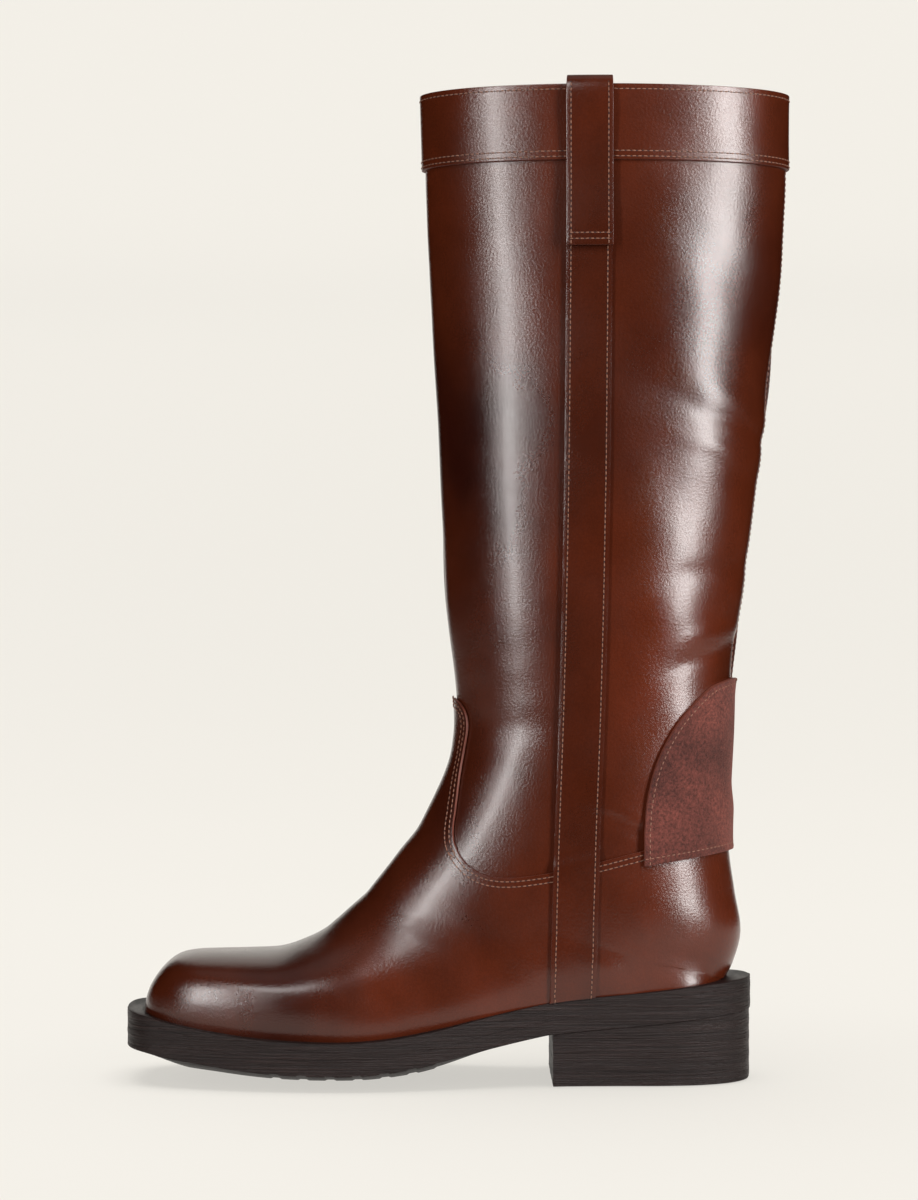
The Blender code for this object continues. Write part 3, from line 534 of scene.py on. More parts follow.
def polished_leather(name, sizes, depth=1.0):
    """Glossy pull-up leather: dark clouds, warm mids and a fine grain; a depth
    below 1 darkens all of it, a painted-shade copy.
    """
    mat, tree, shader = shader_mat(name)
    deep = tuple(sizes.leather_dark)
    mid = tuple(sizes.leather_mid)
    bright = tuple(sizes.leather_bright)
    clouds = noise(tree, 9.0, 4.0, 0.5, 0.2, (1.0, 1.0, 0.55))
    base = ramp_node(tree, clouds, [(0.30, darker(deep, depth)),
                                    (0.50, darker(mid, depth)),
                                    (0.74, darker(bright, depth))])
    mottle = noise(tree, 70.0, 5.0, 0.65)
    mottle = ramp_node(tree, mottle, [(0.30, 0.80), (0.70, 1.10)])
    base = blend_colours(tree, 0.6, base, mottle, "MULTIPLY")
    pores = noise(tree, 1100.0, 3.0, 0.6)
    pore_tint = ramp_node(tree, pores, [(0.38, 0.80), (0.62, 1.1)])
    base = blend_colours(tree, 0.5, base, pore_tint, "MULTIPLY")
    tree.links.new(base, shader.inputs["Base Color"])
    shine = noise(tree, 30.0, 3.0, 0.5)
    rough = ramp_node(tree, shine, [(0.30, 0.185), (0.70, 0.26)])
    tree.links.new(rough, shader.inputs["Roughness"])
    shader.inputs["Specular IOR Level"].default_value = 0.42
    shader.inputs["Coat Weight"].default_value = 0.13
    shader.inputs["Coat Roughness"].default_value = 0.15
    broad = noise(tree, 40.0, 2.0, 0.4)
    grain = noise(tree, 950.0, 4.0, 0.62)
    bumps(tree, shader, [(broad, 0.07, 0.0012), (grain, 0.55, 0.00022)])
    return mat


def raw_edge(name, sizes):
    """Cut edge of the leather, redder and duller than its face."""
    mat, tree, shader = shader_mat(name)
    grain = noise(tree, 700.0, 3.0, 0.6)
    base = ramp_node(tree, grain, [(0.3, darker(tuple(sizes.edge), 0.6)),
                                   (0.7, tuple(sizes.edge))])
    tree.links.new(base, shader.inputs["Base Color"])
    shader.inputs["Roughness"].default_value = 0.6
    bumps(tree, shader, [(grain, 0.4, 0.0002)])
    return mat


def thread(name, sizes):
    """Twisted sewing thread."""
    mat, tree, shader = shader_mat(name)
    fibre = noise(tree, 1500.0, 2.0, 0.6)
    base = ramp_node(tree, fibre, [(0.3, darker(tuple(sizes.thread), 0.55)),
                                   (0.7, tuple(sizes.thread))])
    tree.links.new(base, shader.inputs["Base Color"])
    shader.inputs["Roughness"].default_value = 0.65
    bumps(tree, shader, [(fibre, 0.5, 0.0002)])
    return mat


# Near-black finish of the needle-hole discs: painted shade standing in for the
# dark inside of each hole.
def needle_hole_shade(name):
    mat, tree, shader = shader_mat(name)
    grain = noise(tree, 1200.0, 2.0)
    base = ramp_node(tree, grain, [(0.3, (0.010, 0.002, 0.001)),
                                   (0.7, (0.022, 0.005, 0.003))])
    tree.links.new(base, shader.inputs["Base Color"])
    shader.inputs["Roughness"].default_value = 0.8
    return mat


def roughout(name, sizes):
    """Leather worn flesh side out: a short, directionless nap."""
    mat, tree, shader = shader_mat(name)
    nap = noise(tree, 760.0, 6.0, 0.75)
    flecks = noise(tree, 1300.0, 4.0, 0.7)
    patches = noise(tree, 45.0, 4.0, 0.6)
    colour = tuple(sizes.nap)
    base = ramp_node(tree, patches, [(0.34, darker(colour, 0.66)),
                                     (0.66, darker(colour, 1.45))])
    tint = ramp_node(tree, nap, [(0.38, 0.42), (0.62, 1.65)])
    base = blend_colours(tree, 0.9, base, tint, "MULTIPLY")
    tree.links.new(base, shader.inputs["Base Color"])
    shader.inputs["Roughness"].default_value = 0.9
    shader.inputs["Specular IOR Level"].default_value = 0.25
    shader.inputs["Sheen Weight"].default_value = 0.2
    shader.inputs["Sheen Roughness"].default_value = 0.5
    shader.inputs["Sheen Tint"].default_value = (0.9, 0.45, 0.38, 1.0)
    bumps(tree, shader, [(nap, 0.8, 0.0009), (flecks, 0.5, 0.0004)])
    return mat


def matt_leather(name, colour):
    """Soft lining leather."""
    mat, tree, shader = shader_mat(name)
    cloud = noise(tree, 40.0, 4.0, 0.6)
    grain = noise(tree, 650.0, 4.0, 0.65)
    base = ramp_node(tree, cloud, [(0.3, darker(colour, 0.75)), (0.7, colour)])
    tint = ramp_node(tree, grain, [(0.35, 0.8), (0.65, 1.08)])
    base = blend_colours(tree, 0.6, base, tint, "MULTIPLY")
    tree.links.new(base, shader.inputs["Base Color"])
    shader.inputs["Roughness"].default_value = 0.75
    bumps(tree, shader, [(grain, 0.4, 0.0003)])
    return mat


def sole_edge(name, colour):
    """Stained and waxed sole edge with fine horizontal lines."""
    mat, tree, shader = shader_mat(name)
    lines = noise(tree, 60.0, 5.0, 0.7, 0.0, (0.35, 0.35, 22.0))
    speck = noise(tree, 600.0, 3.0, 0.6)
    base = ramp_node(tree, lines, [(0.34, darker(colour, 0.55)),
                                   (0.58, darker(colour, 1.25)),
                                   (0.74, darker(colour, 2.3))])
    tint = ramp_node(tree, speck, [(0.35, 0.75), (0.65, 1.15)])
    base = blend_colours(tree, 0.6, base, tint, "MULTIPLY")
    tree.links.new(base, shader.inputs["Base Color"])
    rough = ramp_node(tree, lines, [(0.3, 0.58), (0.7, 0.36)])
    tree.links.new(rough, shader.inputs["Roughness"])
    shader.inputs["Specular IOR Level"].default_value = 0.18
    bumps(tree, shader, [(lines, 0.8, 0.0007), (speck, 0.2, 0.0002)])
    return mat


def tread_rubber(name, colour):
    mat, tree, shader = shader_mat(name)
    dust = noise(tree, 120.0, 5.0, 0.65)
    speck = noise(tree, 900.0, 3.0, 0.6)
    base = ramp_node(tree, dust, [(0.3, darker(colour, 0.8)),
                                  (0.75, darker(colour, 1.9))])
    tree.links.new(base, shader.inputs["Base Color"])
    shader.inputs["Roughness"].default_value = 0.72
    bumps(tree, shader, [(speck, 0.35, 0.0003)])
    return mat


def plain_fibre(name, colour, scale=400.0, metallic=0.0, roughness=0.85):
    """Hidden parts: board, drill, cork and steel."""
    mat, tree, shader = shader_mat(name)
    fibre = noise(tree, scale, 4.0, 0.7)
    base = ramp_node(tree, fibre, [(0.3, darker(colour, 0.6)), (0.7, colour)])
    tree.links.new(base, shader.inputs["Base Color"])
    shader.inputs["Roughness"].default_value = roughness
    shader.inputs["Metallic"].default_value = metallic
    bumps(tree, shader, [(fibre, 0.3, 0.0003)])
    return mat


_made = {}


def finish_mat(kind, sizes):
    """Each finish is made once and shared."""
    if kind not in _made:
        makers = {
            "leather": lambda: polished_leather("polished_leather", sizes),
            # Straps and pull loops: the same leather darkened to 0.8, painted
            # shade where the straps stand between the highlights.
            "strap": lambda: polished_leather("strap_leather_painted_shade", sizes, 0.8),
            "edge": lambda: raw_edge("cut_edge", sizes),
            "thread": lambda: thread("thread", sizes),
            # The needle holes get a near-black finish of painted shade.
            "hole": lambda: needle_hole_shade("needle_hole_shade"),
            "roughout": lambda: roughout("roughout", sizes),
            "lining": lambda: matt_leather("lining", tuple(sizes.lining)),
            "sole": lambda: sole_edge("sole_edge", tuple(sizes.sole)),
            "rubber": lambda: tread_rubber("tread_rubber",
                                           tuple(sizes.rubber)),
        }
        _made[kind] = makers[kind]()
    return _made[kind]


def sewn_mats(kind, wall, sizes):
    """Finishes of a sewn piece: face, edge, thread and the painted shade in
    the needle holes.
    """
    return [finish_mat(use, sizes) for use in (kind, wall, "thread", "hole")]


# -------------------------------------------------------------- mesh makers
def merged(grids):
    """Unique (u, v) places of some grids, and triangles or quads over them."""
    keys, places, faces = {}, [], []
    for grid_u, grid_v in grids:
        number = np.zeros(grid_u.shape, dtype=int)
        for i, j in np.ndindex(grid_u.shape):
            u, v = float(grid_u[i, j]), float(grid_v[i, j])
            side = v
            at_back = abs(v) > 1 - 1e-6 and u <= HEEL_CORNER + 1e-6
            if u > LAST - 1e-6 or at_back:
                side = abs(v)
            key = (round(u, 4), round(side, 4))
            if key not in keys:
                keys[key] = len(places)
                places.append((u, v))
            number[i, j] = keys[key]
        for i in range(number.shape[0] - 1):
            for j in range(number.shape[1] - 1):
                loop = []
                for n in (number[i, j], number[i + 1, j],
                          number[i + 1, j + 1], number[i, j + 1]):
                    if int(n) not in loop:
                        loop.append(int(n))
                if len(loop) > 2:
                    faces.append(tuple(loop))
    return np.array(places), faces


def boundary(faces):
    """Directed edges that only one face uses."""
    used = {}
    for loop in faces:
        for a, b in zip(loop, loop[1:] + loop[:1]):
            used[(a, b)] = True
    return [(a, b) for a, b in used if (b, a) not in used]


def object_from(name, bm, mats, sharp=40.0):
    bmesh.ops.recalc_face_normals(bm, faces=bm.faces[:])
    mesh = bpy.data.meshes.new(name)
    bm.to_mesh(mesh)
    bm.free()
    for mat in mats:
        mesh.materials.append(mat)
    mesh.shade_smooth()
    mesh.set_sharp_from_angle(angle=math.radians(sharp))
    obj = bpy.data.objects.new(name, mesh)
    bpy.context.scene.collection.objects.link(obj)
    return obj


def shell_mesh(points_out, points_in, faces, round_off, closed=True):
    """A bmesh of a sheet with thickness and softly rounded edges."""
    count = len(points_out)
    bm = bmesh.new()
    verts = [bm.verts.new(Vector(p) * MM)
             for p in np.concatenate([points_out, points_in]).tolist()]
    for loop in faces:
        bm.faces.new([verts[k] for k in loop])
        if closed:
            bm.faces.new([verts[k + count] for k in reversed(loop)])
    rim = []
    for a, b in boundary(faces):
        wall = bm.faces.new([verts[b], verts[a], verts[a + count],
                             verts[b + count]])
        wall.material_index = 1
        rim.append((a, b))
    bm.normal_update()
    edges = []
    for a, b in rim:
        edge = bm.edges.get((verts[a], verts[b]))
        if edge is not None:
            edges.append(edge)
    if round_off > 0:
        bmesh.ops.bevel(bm, geom=edges, offset=round_off * MM, segments=2,
                        profile=0.6, affect="EDGES", clamp_overlap=True,
                        material=-1)
    loose = [vert for vert in bm.verts if not vert.link_faces]
    bmesh.ops.delete(bm, geom=loose, context="VERTS")
    return bm


STITCH = [(-1.0, 0.11, -0.16), (-0.78, 0.23, 0.02), (0.0, 0.27, 0.09),
          (0.78, 0.23, 0.02), (1.0, 0.11, -0.16)]


def add_stitches(bm, line, normals, pitch, length, thread_index=2, size=1.0):
    """Sews along a dense line: raised stitches, with a flat near-black disc of
    painted shade for the needle hole between them.
    """
    step = np.linalg.norm(np.diff(line, axis=0), axis=1)
    run = np.concatenate([[0.0], np.cumsum(step)])
    if run[-1] < pitch * 1.5:
        return
    count = max(int(round(run[-1] / pitch)), 1)
    pitch = run[-1] / count
    for k in range(count):
        at = (k + 0.5) * pitch
        ends = [np.array([np.interp(at + d, run, line[:, c])
                          for c in range(3)])
                for d in (-0.5 * length, 0.5 * length)]
        up = np.array([np.interp(at, run, normals[:, c]) for c in range(3)])
        up /= max(np.linalg.norm(up), 1e-9)
        middle = 0.5 * (ends[0] + ends[1])
        way = ends[1] - ends[0]
        way /= max(np.linalg.norm(way), 1e-9)
        across = np.cross(up, way)
        lean = 0.05 * math.sin(k * 2.399)
        way = way + across * lean
        rings = []
        for place, radius, height in STITCH:
            ring = []
            centre = middle + way * (place * 0.5 * length) + up * height * size
            for s in range(6):
                a = math.pi * s / 3
                p = centre + (across * math.cos(a) + up * math.sin(a)) * (
                    radius * size)
                ring.append(bm.verts.new(Vector(p) * MM))
            rings.append(ring)
        for low, high in zip(rings, rings[1:]):
            for s in range(6):
                n = (s + 1) % 6
                face = bm.faces.new([low[s], low[n], high[n], high[s]])
                face.material_index = thread_index
        for ring in (rings[0], rings[-1]):
            face = bm.faces.new(ring)
            face.material_index = thread_index
        # A flat near-black disc over the hole's place: painted shade instead
        # of a real hole.
        hole = middle + way * (0.5 * pitch) + up * 0.03
        disc = []
        for s in range(6):
            a = math.pi * s / 3
            p = hole + (across * math.cos(a) * 0.30
                        + way * math.sin(a) * 0.42) * size
            disc.append(bm.verts.new(Vector(p) * MM))
        face = bm.faces.new(disc)
        face.material_index = thread_index + 1


def stitching(sizes):
    """Pitch and length of the main stitches, in millimetres."""
    return (round(sizes.stitch_pitch / MM, 3),
            round(sizes.stitch_length / MM, 3))


def sew(bm, u, v, distance, pitch, length, size=1.0):
    """Sews along a line of places on the leather."""
    u, v = np.asarray(u, dtype=float), np.asarray(v, dtype=float)
    line = skin_points(u, v, distance)
    add_stitches(bm, line, normal(u, v), pitch, length, 2, size)


def beside(u, v, shift):
    """A line of places moved sideways over the surface, in millimetres."""
    u, v = np.asarray(u, dtype=float), np.asarray(v, dtype=float)
    base = surface(u, v)
    du, dv = 0.02, 0.004
    step_u = (surface(np.minimum(u + du, LAST), v) - surface(u - du, v)) / (
        np.minimum(u + du, LAST) - u + du)[:, None]
    side = np.where(v < 0, -1.0, 1.0)
    high = np.minimum(np.abs(v) + dv, 1.0) * side
    low = np.maximum(np.abs(v) - dv, 0.0) * side
    step_v = (surface(u, high) - surface(u, low)) / (high - low)[:, None]
    way = np.gradient(base, axis=0)
    way /= np.maximum(np.linalg.norm(way, axis=1, keepdims=True), 1e-9)
    out = np.cross(normal(u, v), way)
    moved_u, moved_v = np.zeros(len(u)), np.zeros(len(u))
    for k in range(len(u)):
        frame_uv = np.stack([step_u[k], step_v[k]], axis=1)
        answer = np.linalg.lstsq(frame_uv, out[k] * shift, rcond=None)[0]
        moved_u[k] = u[k] + answer[0]
        moved_v[k] = v[k] + answer[1]
    return moved_u, np.clip(moved_v, -1.0, 1.0)


def rows_between(low, high, step):
    """u rows whose ridge and end lie about step millimetres apart."""
    dense = np.linspace(low, high, 2001)
    row = section(dense, np.zeros(2001))[0]
    gap = np.maximum(np.hypot(np.diff(row[:, 0]), np.diff(row[:, 1])),
                     np.hypot(np.diff(row[:, 2]), np.diff(row[:, 3])) * 0.8)
    run = np.concatenate([[0.0], np.cumsum(gap)])
    count = max(int(run[-1] / step), 2)
    return np.interp(np.linspace(0, run[-1], count + 1), run, dense)


def front_half(u, inner, outer, stop=SPLIT):
    """Columns from the ridge to the strap line."""
    start = float(np.interp(max(u, 5.5), TONGUE_U, TONGUE_V))
    edge = strap_edge(u, stop)
    return np.concatenate([np.linspace(0, start, inner),
                           np.linspace(start, edge, outer)[1:]])


def mirrored(half):
    return np.concatenate([-half[:0:-1], half])


def grid(rows, columns, low=None, high=None):
    """A (u, v) grid of rows, held between the lines low(v) and high(v)."""
    count = len(columns(rows[0]))
    grid_u = np.repeat(np.asarray(rows, dtype=float)[:, None], count, axis=1)
    for line, pick in ((low, np.maximum), (high, np.minimum)):
        if line is None:
            continue
        a = np.full(count, float(rows[0]))
        b = np.full(count, float(rows[-1]))
        for _ in range(26):
            mid = 0.5 * (a + b)
            there = np.array([columns(m)[j] for j, m in enumerate(mid)])
            over = mid > line(there)
            b = np.where(over, mid, b)
            a = np.where(over, a, mid)
        grid_u = pick(grid_u, 0.5 * (a + b)[None, :])
    known = {}
    grid_v = np.zeros(grid_u.shape)
    for i, j in np.ndindex(grid_u.shape):
        u = float(grid_u[i, j])
        if u not in known:
            known[u] = columns(u)
        grid_v[i, j] = known[u][j]
    return grid_u, grid_v


def leather_piece(name, grids, low, high, kind, sizes, round_off=0.4,
                  sewing=None, closed=True, wall="edge"):
    """A leather piece from (u, v) grids, sewn and finished."""
    places, faces = merged(grids)
    u, v = places[:, 0], places[:, 1]
    crest = high(u, v) if callable(high) else np.full(len(u), high)
    floor = low(u, v) if callable(low) else np.full(len(u), low)
    bm = shell_mesh(skin_points(u, v, crest), skin_points(u, v, floor), faces,
                    round_off, closed)
    if sewing is not None:
        sewing(bm)
    return object_from(name, bm, sewn_mats(kind, wall, sizes))


def sided(run, side):
    """Columns for the outer side, or turned over for the inner side."""
    return run if side > 0 else -run[::-1]


def bending(piece, node):
    """A piece that stands for a node, with its placement baked into its mesh;
    the node is hidden.
    """
    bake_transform(piece)
    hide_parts(node)


def riding(piece, body, node):
    """A piece that stands for a node and stays rigid on its body."""
    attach(piece, body)
    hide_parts(node)


# -------------------------------------------------------------------- pieces
def back_half(side, count, start=SPLIT, stop=0.0):
    def columns(u):
        edge = min(float(strap_v(u)) + start, 1.0)
        run = edge + (1.0 - stop - edge) * np.linspace(0.0, 1.0, count)
        return sided(run, side)
    return columns


def make_shaft(sizes):
    rows = rows_between(0.0, 10.0, PANEL_STEP)
    piece = leather_piece(
        "shaft_front_leather",
        [grid(rows, lambda u: mirrored(front_half(u, 12, 24, SEAM_GAP)))],
        PANEL_LOW, 0.0, "leather", sizes, closed=False, round_off=0.0,
        wall="leather")
    bending(piece, "shaft_front")
    for tag, side in SIDES:
        def sewing(bm, s=side):
            u, v = beside(np.linspace(0.52, 5.6, 400),
                          np.full(400, 0.9999 * s), BACK_SEAM * -s)
            sew(bm, u, v, 0.0, 2.6, 1.8, 0.9)
        piece = leather_piece(
            "shaft_back_%s_leather" % tag,
            [grid(rows, back_half(side, 36, SEAM_GAP, 0.0008),
                  high=lambda v: seam_u(v) + 0.35)],
            PANEL_LOW, 0.0, "leather", sizes, closed=False, round_off=0.35,
            sewing=sewing, wall="leather")
        bending(piece, "shaft_back_" + tag)


def make_vamp(sizes):
    crest = CLEAR + VAMP_T
    peak = float(TONGUE_U[0])
    below = rows_between(TONGUE_END, float(LAST), FOOT_STEP)
    top = np.concatenate([peak + np.array([0.0, 0.01, 0.03, 0.06, 0.1, 0.16]),
                          rows_between(peak + 0.22, TONGUE_END,
                                       FOOT_STEP)])

    def tongue(u):
        edge = float(np.interp(u, TONGUE_U, TONGUE_V))
        return mirrored(np.linspace(0.0, edge, 13))

    def flank(side):
        def columns(u):
            start = float(np.interp(u, TONGUE_U, TONGUE_V))
            run = np.linspace(start, strap_edge(u, SEAM_GAP), 27)
            return sided(run, side)
        return columns

    grids = [grid(np.concatenate([top, below[1:]]), tongue)]
    flank_rows = np.concatenate([[8.8], below])
    for side in (1, -1):
        grids.append(grid(flank_rows, flank(side), low=seam_u))

    def sewing(bm):
        line_v = np.concatenate([TONGUE_V, SEAM_V[SEAM_V > TONGUE_V[-1]]])
        line_u = np.concatenate([TONGUE_U, SEAM_U[SEAM_V > TONGUE_V[-1]]])
        keep = line_v <= strap_v(line_u) - 0.002
        line_u, line_v = line_u[keep], line_v[keep]
        run = np.linspace(0, len(line_u) - 1, 600)
        line_u = np.interp(run, np.arange(len(line_u)), line_u)
        line_v = np.interp(run, np.arange(len(line_v)), line_v)
        whole_u = np.concatenate([line_u[::-1], line_u[1:]])
        whole_v = np.concatenate([-line_v[::-1], line_v[1:]])
        for inset in SEAM_ROWS:
            u, v = beside(whole_u, whole_v, -inset)
            sew(bm, u, v, crest, *stitching(sizes))

    piece = leather_piece("vamp_leather", grids, CLEAR, crest, "leather",
                          sizes, sewing=sewing, closed=False)
    bending(piece, "vamp")

    rows = rows_between(5.0, STRAP_FOOT_U, FOOT_STEP)

    def foxing_sewing(bm):
        pick = SEAM_V > 0.46
        known, dense = np.linspace(0, 1, pick.sum()), np.linspace(0, 1, 300)
        for side in (1, -1):
            u = np.interp(dense, known, SEAM_U[pick])
            v = np.interp(dense, known, SEAM_V[pick]) * side
            for inset in SEAM_ROWS:
                moved = beside(u, v, -inset * side)
                sew(bm, moved[0], moved[1], crest, *stitching(sizes))

    piece = leather_piece(
        "heel_foxing_leather",
        [grid(rows, back_half(side, 40, SEAM_GAP), low=seam_u)
         for side in (1, -1)], CLEAR, crest, "leather", sizes,
        sewing=foxing_sewing, closed=False)
    bending(piece, "heel_foxing")


def ring(u, count=36):
    back_inner = back_half(-1, count, 0.0)(u)
    back_outer = back_half(1, count, 0.0)(u)
    return np.concatenate([back_inner[:-1],
                           mirrored(front_half(u, 12, 24, 0.0)),
                           back_outer[1:]])


def u_at_height(z):
    """u of the shaft ring whose front stands at height z."""
    dense = np.linspace(0.0, 5.0, 501)
    row = section(dense, np.zeros(501))[0]
    return float(np.interp(-z, -row[:, 1], dense))


def make_collar(sizes):
    low_u = u_at_height(BAND_LOW_Z)
    rows = np.linspace(0.0, low_u, 12)
    crest = CLEAR + BAND_T

    def sewing(bm):
        v = np.concatenate([np.linspace(-1, -0.5, 300), np.linspace(
            -0.5, 0.5, 600)[1:], np.linspace(0.5, 1, 300)[1:]])
        for z in (437.6, 410.4, 408.0):
            u = np.full(len(v), u_at_height(z))
            sew(bm, u, v, crest, 2.5, 1.7)

    piece = leather_piece("collar_band_leather", [grid(rows, ring)],
                          CLEAR - SINK, crest, "leather", sizes,
                          sewing=sewing, closed=True)
    riding(piece, "shaft", "collar_band")


def strap_places(heights, shifts, side):
    line = smooth_line(STRAP_LINE, 121)
    grid_u, grid_v = [], []
    for z in heights:
        row = []
        for shift in shifts:
            x = float(np.interp(-max(z, 36.0), -line[:, 1], line[:, 0]))
            x += shift
            row.append(locate(x, max(z, float(sole_top(x)) + 0.4), side))
        grid_u.append([u for u, _ in row])
        grid_v.append([v for _, v in row])
    return np.array(grid_u), np.array(grid_v)


def make_straps(sizes):
    heights = np.concatenate([np.arange(381.0, 150.0, -3.0),
                              np.arange(150.0, 36.0, -2.0), [0.0]])
    shifts = np.linspace(-STRAP_HALF, STRAP_HALF, 11)

    def crest(u, v):
        return CLEAR + VAMP_T + lift_over(u, v)

    for tag, side in SIDES:
        def sewing(bm, s=side):
            for shift in (-STRAP_HALF + STRAP_SEAM, STRAP_HALF - STRAP_SEAM):
                u, v = strap_places(heights, [shift], s)
                u, v = u[:, 0], v[:, 0]
                sew(bm, u, v, crest(u, v), *stitching(sizes))
        piece = leather_piece(
            "side_strap_%s_leather" % tag,
            [strap_places(heights, shifts, side)],
            lambda u, v: CLEAR - SINK + lift_over(u, v), crest, "strap", sizes,
            sewing=sewing)
        bending(piece, "side_strap_" + tag)


LOOP_PATH = [
    (3.7, 369.0), (3.7, 381.0), (3.4, 390.0), (3.2, 400.0), (3.5, 412.0),
    (4.2, 424.0), (4.4, 433.0), (3.5, 439.4), (1.3, 442.6), (-0.9, 443.1),
    (-3.4, 442.5), (-5.3, 439.3), (-5.6, 430.0), (-5.2, 415.0), (-5.1, 400.0),
]


def make_loops(sizes):
    """The pull loops, bent over the rim on either side."""
    path = smooth_line(LOOP_PATH, 101)
    turn = np.gradient(path, axis=0)
    turn /= np.linalg.norm(turn, axis=1, keepdims=True)
    across = np.stack([turn[:, 1], -turn[:, 0]], axis=1) * LEATHER / 2
    shifts = np.linspace(-STRAP_HALF, STRAP_HALF, 9)
    for tag, side in SIDES:
        def placed(line, shift):
            points, ways = [], []
            for d, z in line:
                u, v = locate(STRAP_X + shift, min(z, RIM_Z - 0.5), side)
                u, v = np.array([u]), np.array([v])
                way = normal(u, v)[0]
                p = surface(u, v)[0] + way * d
                p[2] = z
                points.append(p)
                ways.append(way)
            return np.array(points), np.array(ways)

        sheets = []
        for sign in (1, -1):
            rows = [placed(path + sign * across, shift)[0] for shift in shifts]
            sheets.append(np.stack(rows, axis=1).reshape(-1, 3))
        number = np.arange(len(path) * 9).reshape(len(path), 9)
        faces = [(int(number[i, j]), int(number[i + 1, j]),
                  int(number[i + 1, j + 1]), int(number[i, j + 1]))
                 for i in range(len(path) - 1) for j in range(8)]
        bm = shell_mesh(sheets[0], sheets[1], faces, 0.4)
        leg = path[:52]
        for shift in (-STRAP_HALF + STRAP_SEAM, STRAP_HALF - STRAP_SEAM):
            points, ways = placed(leg + across[:52], shift)
            add_stitches(bm, points, ways, *stitching(sizes))
        for z in (371.6, 374.2):
            row = [placed([(3.7 + LEATHER / 2, z)], s) for s in np.linspace(
                -STRAP_HALF + 1.2, STRAP_HALF - 1.2, 25)]
            add_stitches(bm, np.array([p[0][0] for p in row]),
                         np.array([p[1][0] for p in row]), 2.2, 1.5)
        piece = object_from("pull_loop_%s_leather" % tag, bm,
                            sewn_mats("strap", "edge", sizes))
        riding(piece, "shaft", "pull_loop_" + tag)


def make_spur_rest(sizes):
    edge_u, edge_v = located_line(SPUR_EDGE, 121)
    edge_v[0] = 1.0
    low_line = [(81.0 + 42.4 * t, SPUR_FOOT_Z[0] + t * (
        SPUR_FOOT_Z[1] - SPUR_FOOT_Z[0])) for t in (0.0, 0.25, 0.5, 0.75, 1.0)]
    low_u, low_v = located_line(low_line, 61)
    low_v[-1] = 1.0

    def columns_of(side):
        def columns(u):
            edge = float(np.interp(u, edge_u, edge_v))
            run = edge + (1.0 - edge) * np.linspace(0.0, 1.0, 28)
            return sided(run, side)
        return columns

    def crest(u, v):
        return CLEAR + 1.8 + lift_over(u, v, -0.9, -0.3)

    rows = np.concatenate([edge_u[:24:2], edge_u[24::2],
                           [float(edge_u[-1]) + 0.3]])
    grids = [grid(rows, columns_of(side),
                  high=lambda v: np.interp(np.abs(v), low_v, low_u))
             for side in (1, -1)]

    def sewing(bm):
        whole_u = np.concatenate([edge_u[::-1], edge_u[1:]])
        whole_v = np.concatenate([-edge_v[::-1], edge_v[1:]])
        u, v = beside(whole_u, whole_v, 2.2)
        sew(bm, u, v, crest(u, v) - 0.12, 2.5, 1.6)
        whole_u = np.concatenate([low_u, low_u[::-1][1:]])
        whole_v = np.concatenate([-low_v, low_v[::-1][1:]])
        u, v = beside(whole_u, whole_v, -3.0)
        sew(bm, u, v, crest(u, v) - 0.12, 2.5, 1.6)

    piece = leather_piece("spur_rest_roughout", grids,
                          lambda u, v: CLEAR - 0.3 + lift_over(
                              u, v, -0.9, -0.3),
                          crest, "roughout", sizes, round_off=0.5,
                          sewing=sewing)
    bending(piece, "spur_rest")


def lining_piece(name, grids, node, sizes):
    places, faces = merged(grids)
    u, v = places[:, 0], places[:, 1]
    outer = surface(u, v) - normal(u, v) * (LEATHER + GAP)
    inner = surface(u, v) - normal(u, v) * (LEATHER + GAP + LINING)
    foot = u > HEEL_CORNER - 0.6
    for points in (outer, inner):
        seat = sole_top(points[:, 0]) + 0.4
        points[:, 2] = np.where(foot, np.maximum(points[:, 2], seat),
                                points[:, 2])
    bm = shell_mesh(outer, inner, faces, 0.0)
    piece = object_from(name, bm, [finish_mat("lining", sizes),
                                   finish_mat("lining", sizes)])
    bending(piece, node)


def make_linings(sizes):
    ring_rows = rows_between(0.0, 5.5, 9.0)
    lining_piece("shaft_lining_leather",
                 [grid(ring_rows, lambda u: ring(u, 16))],
                 "shaft_lining", sizes)
    rows = rows_between(5.5, float(LAST), 5.0)
    lining_piece("vamp_lining_leather",
                 [grid(rows, lambda u: mirrored(front_half(u, 6, 12, 0.0)))],
                 "vamp_lining", sizes)
    rows = rows_between(5.5, STRAP_FOOT_U, 5.0)
    lining_piece("heel_lining_leather",
                 [grid(rows, back_half(side, 16, 0.0)) for side in (1, -1)],
                 "heel_lining", sizes)


# ------------------------------------------------------------ sole and heel
def inset_line(points, inset):
    line = smooth_line(points, 801)
    way = np.gradient(line, axis=0)
    way /= np.maximum(np.linalg.norm(way, axis=1, keepdims=True), 1e-9)
    inward = np.stack([way[:, 1], -way[:, 0]], axis=1)
    return line + inward * inset


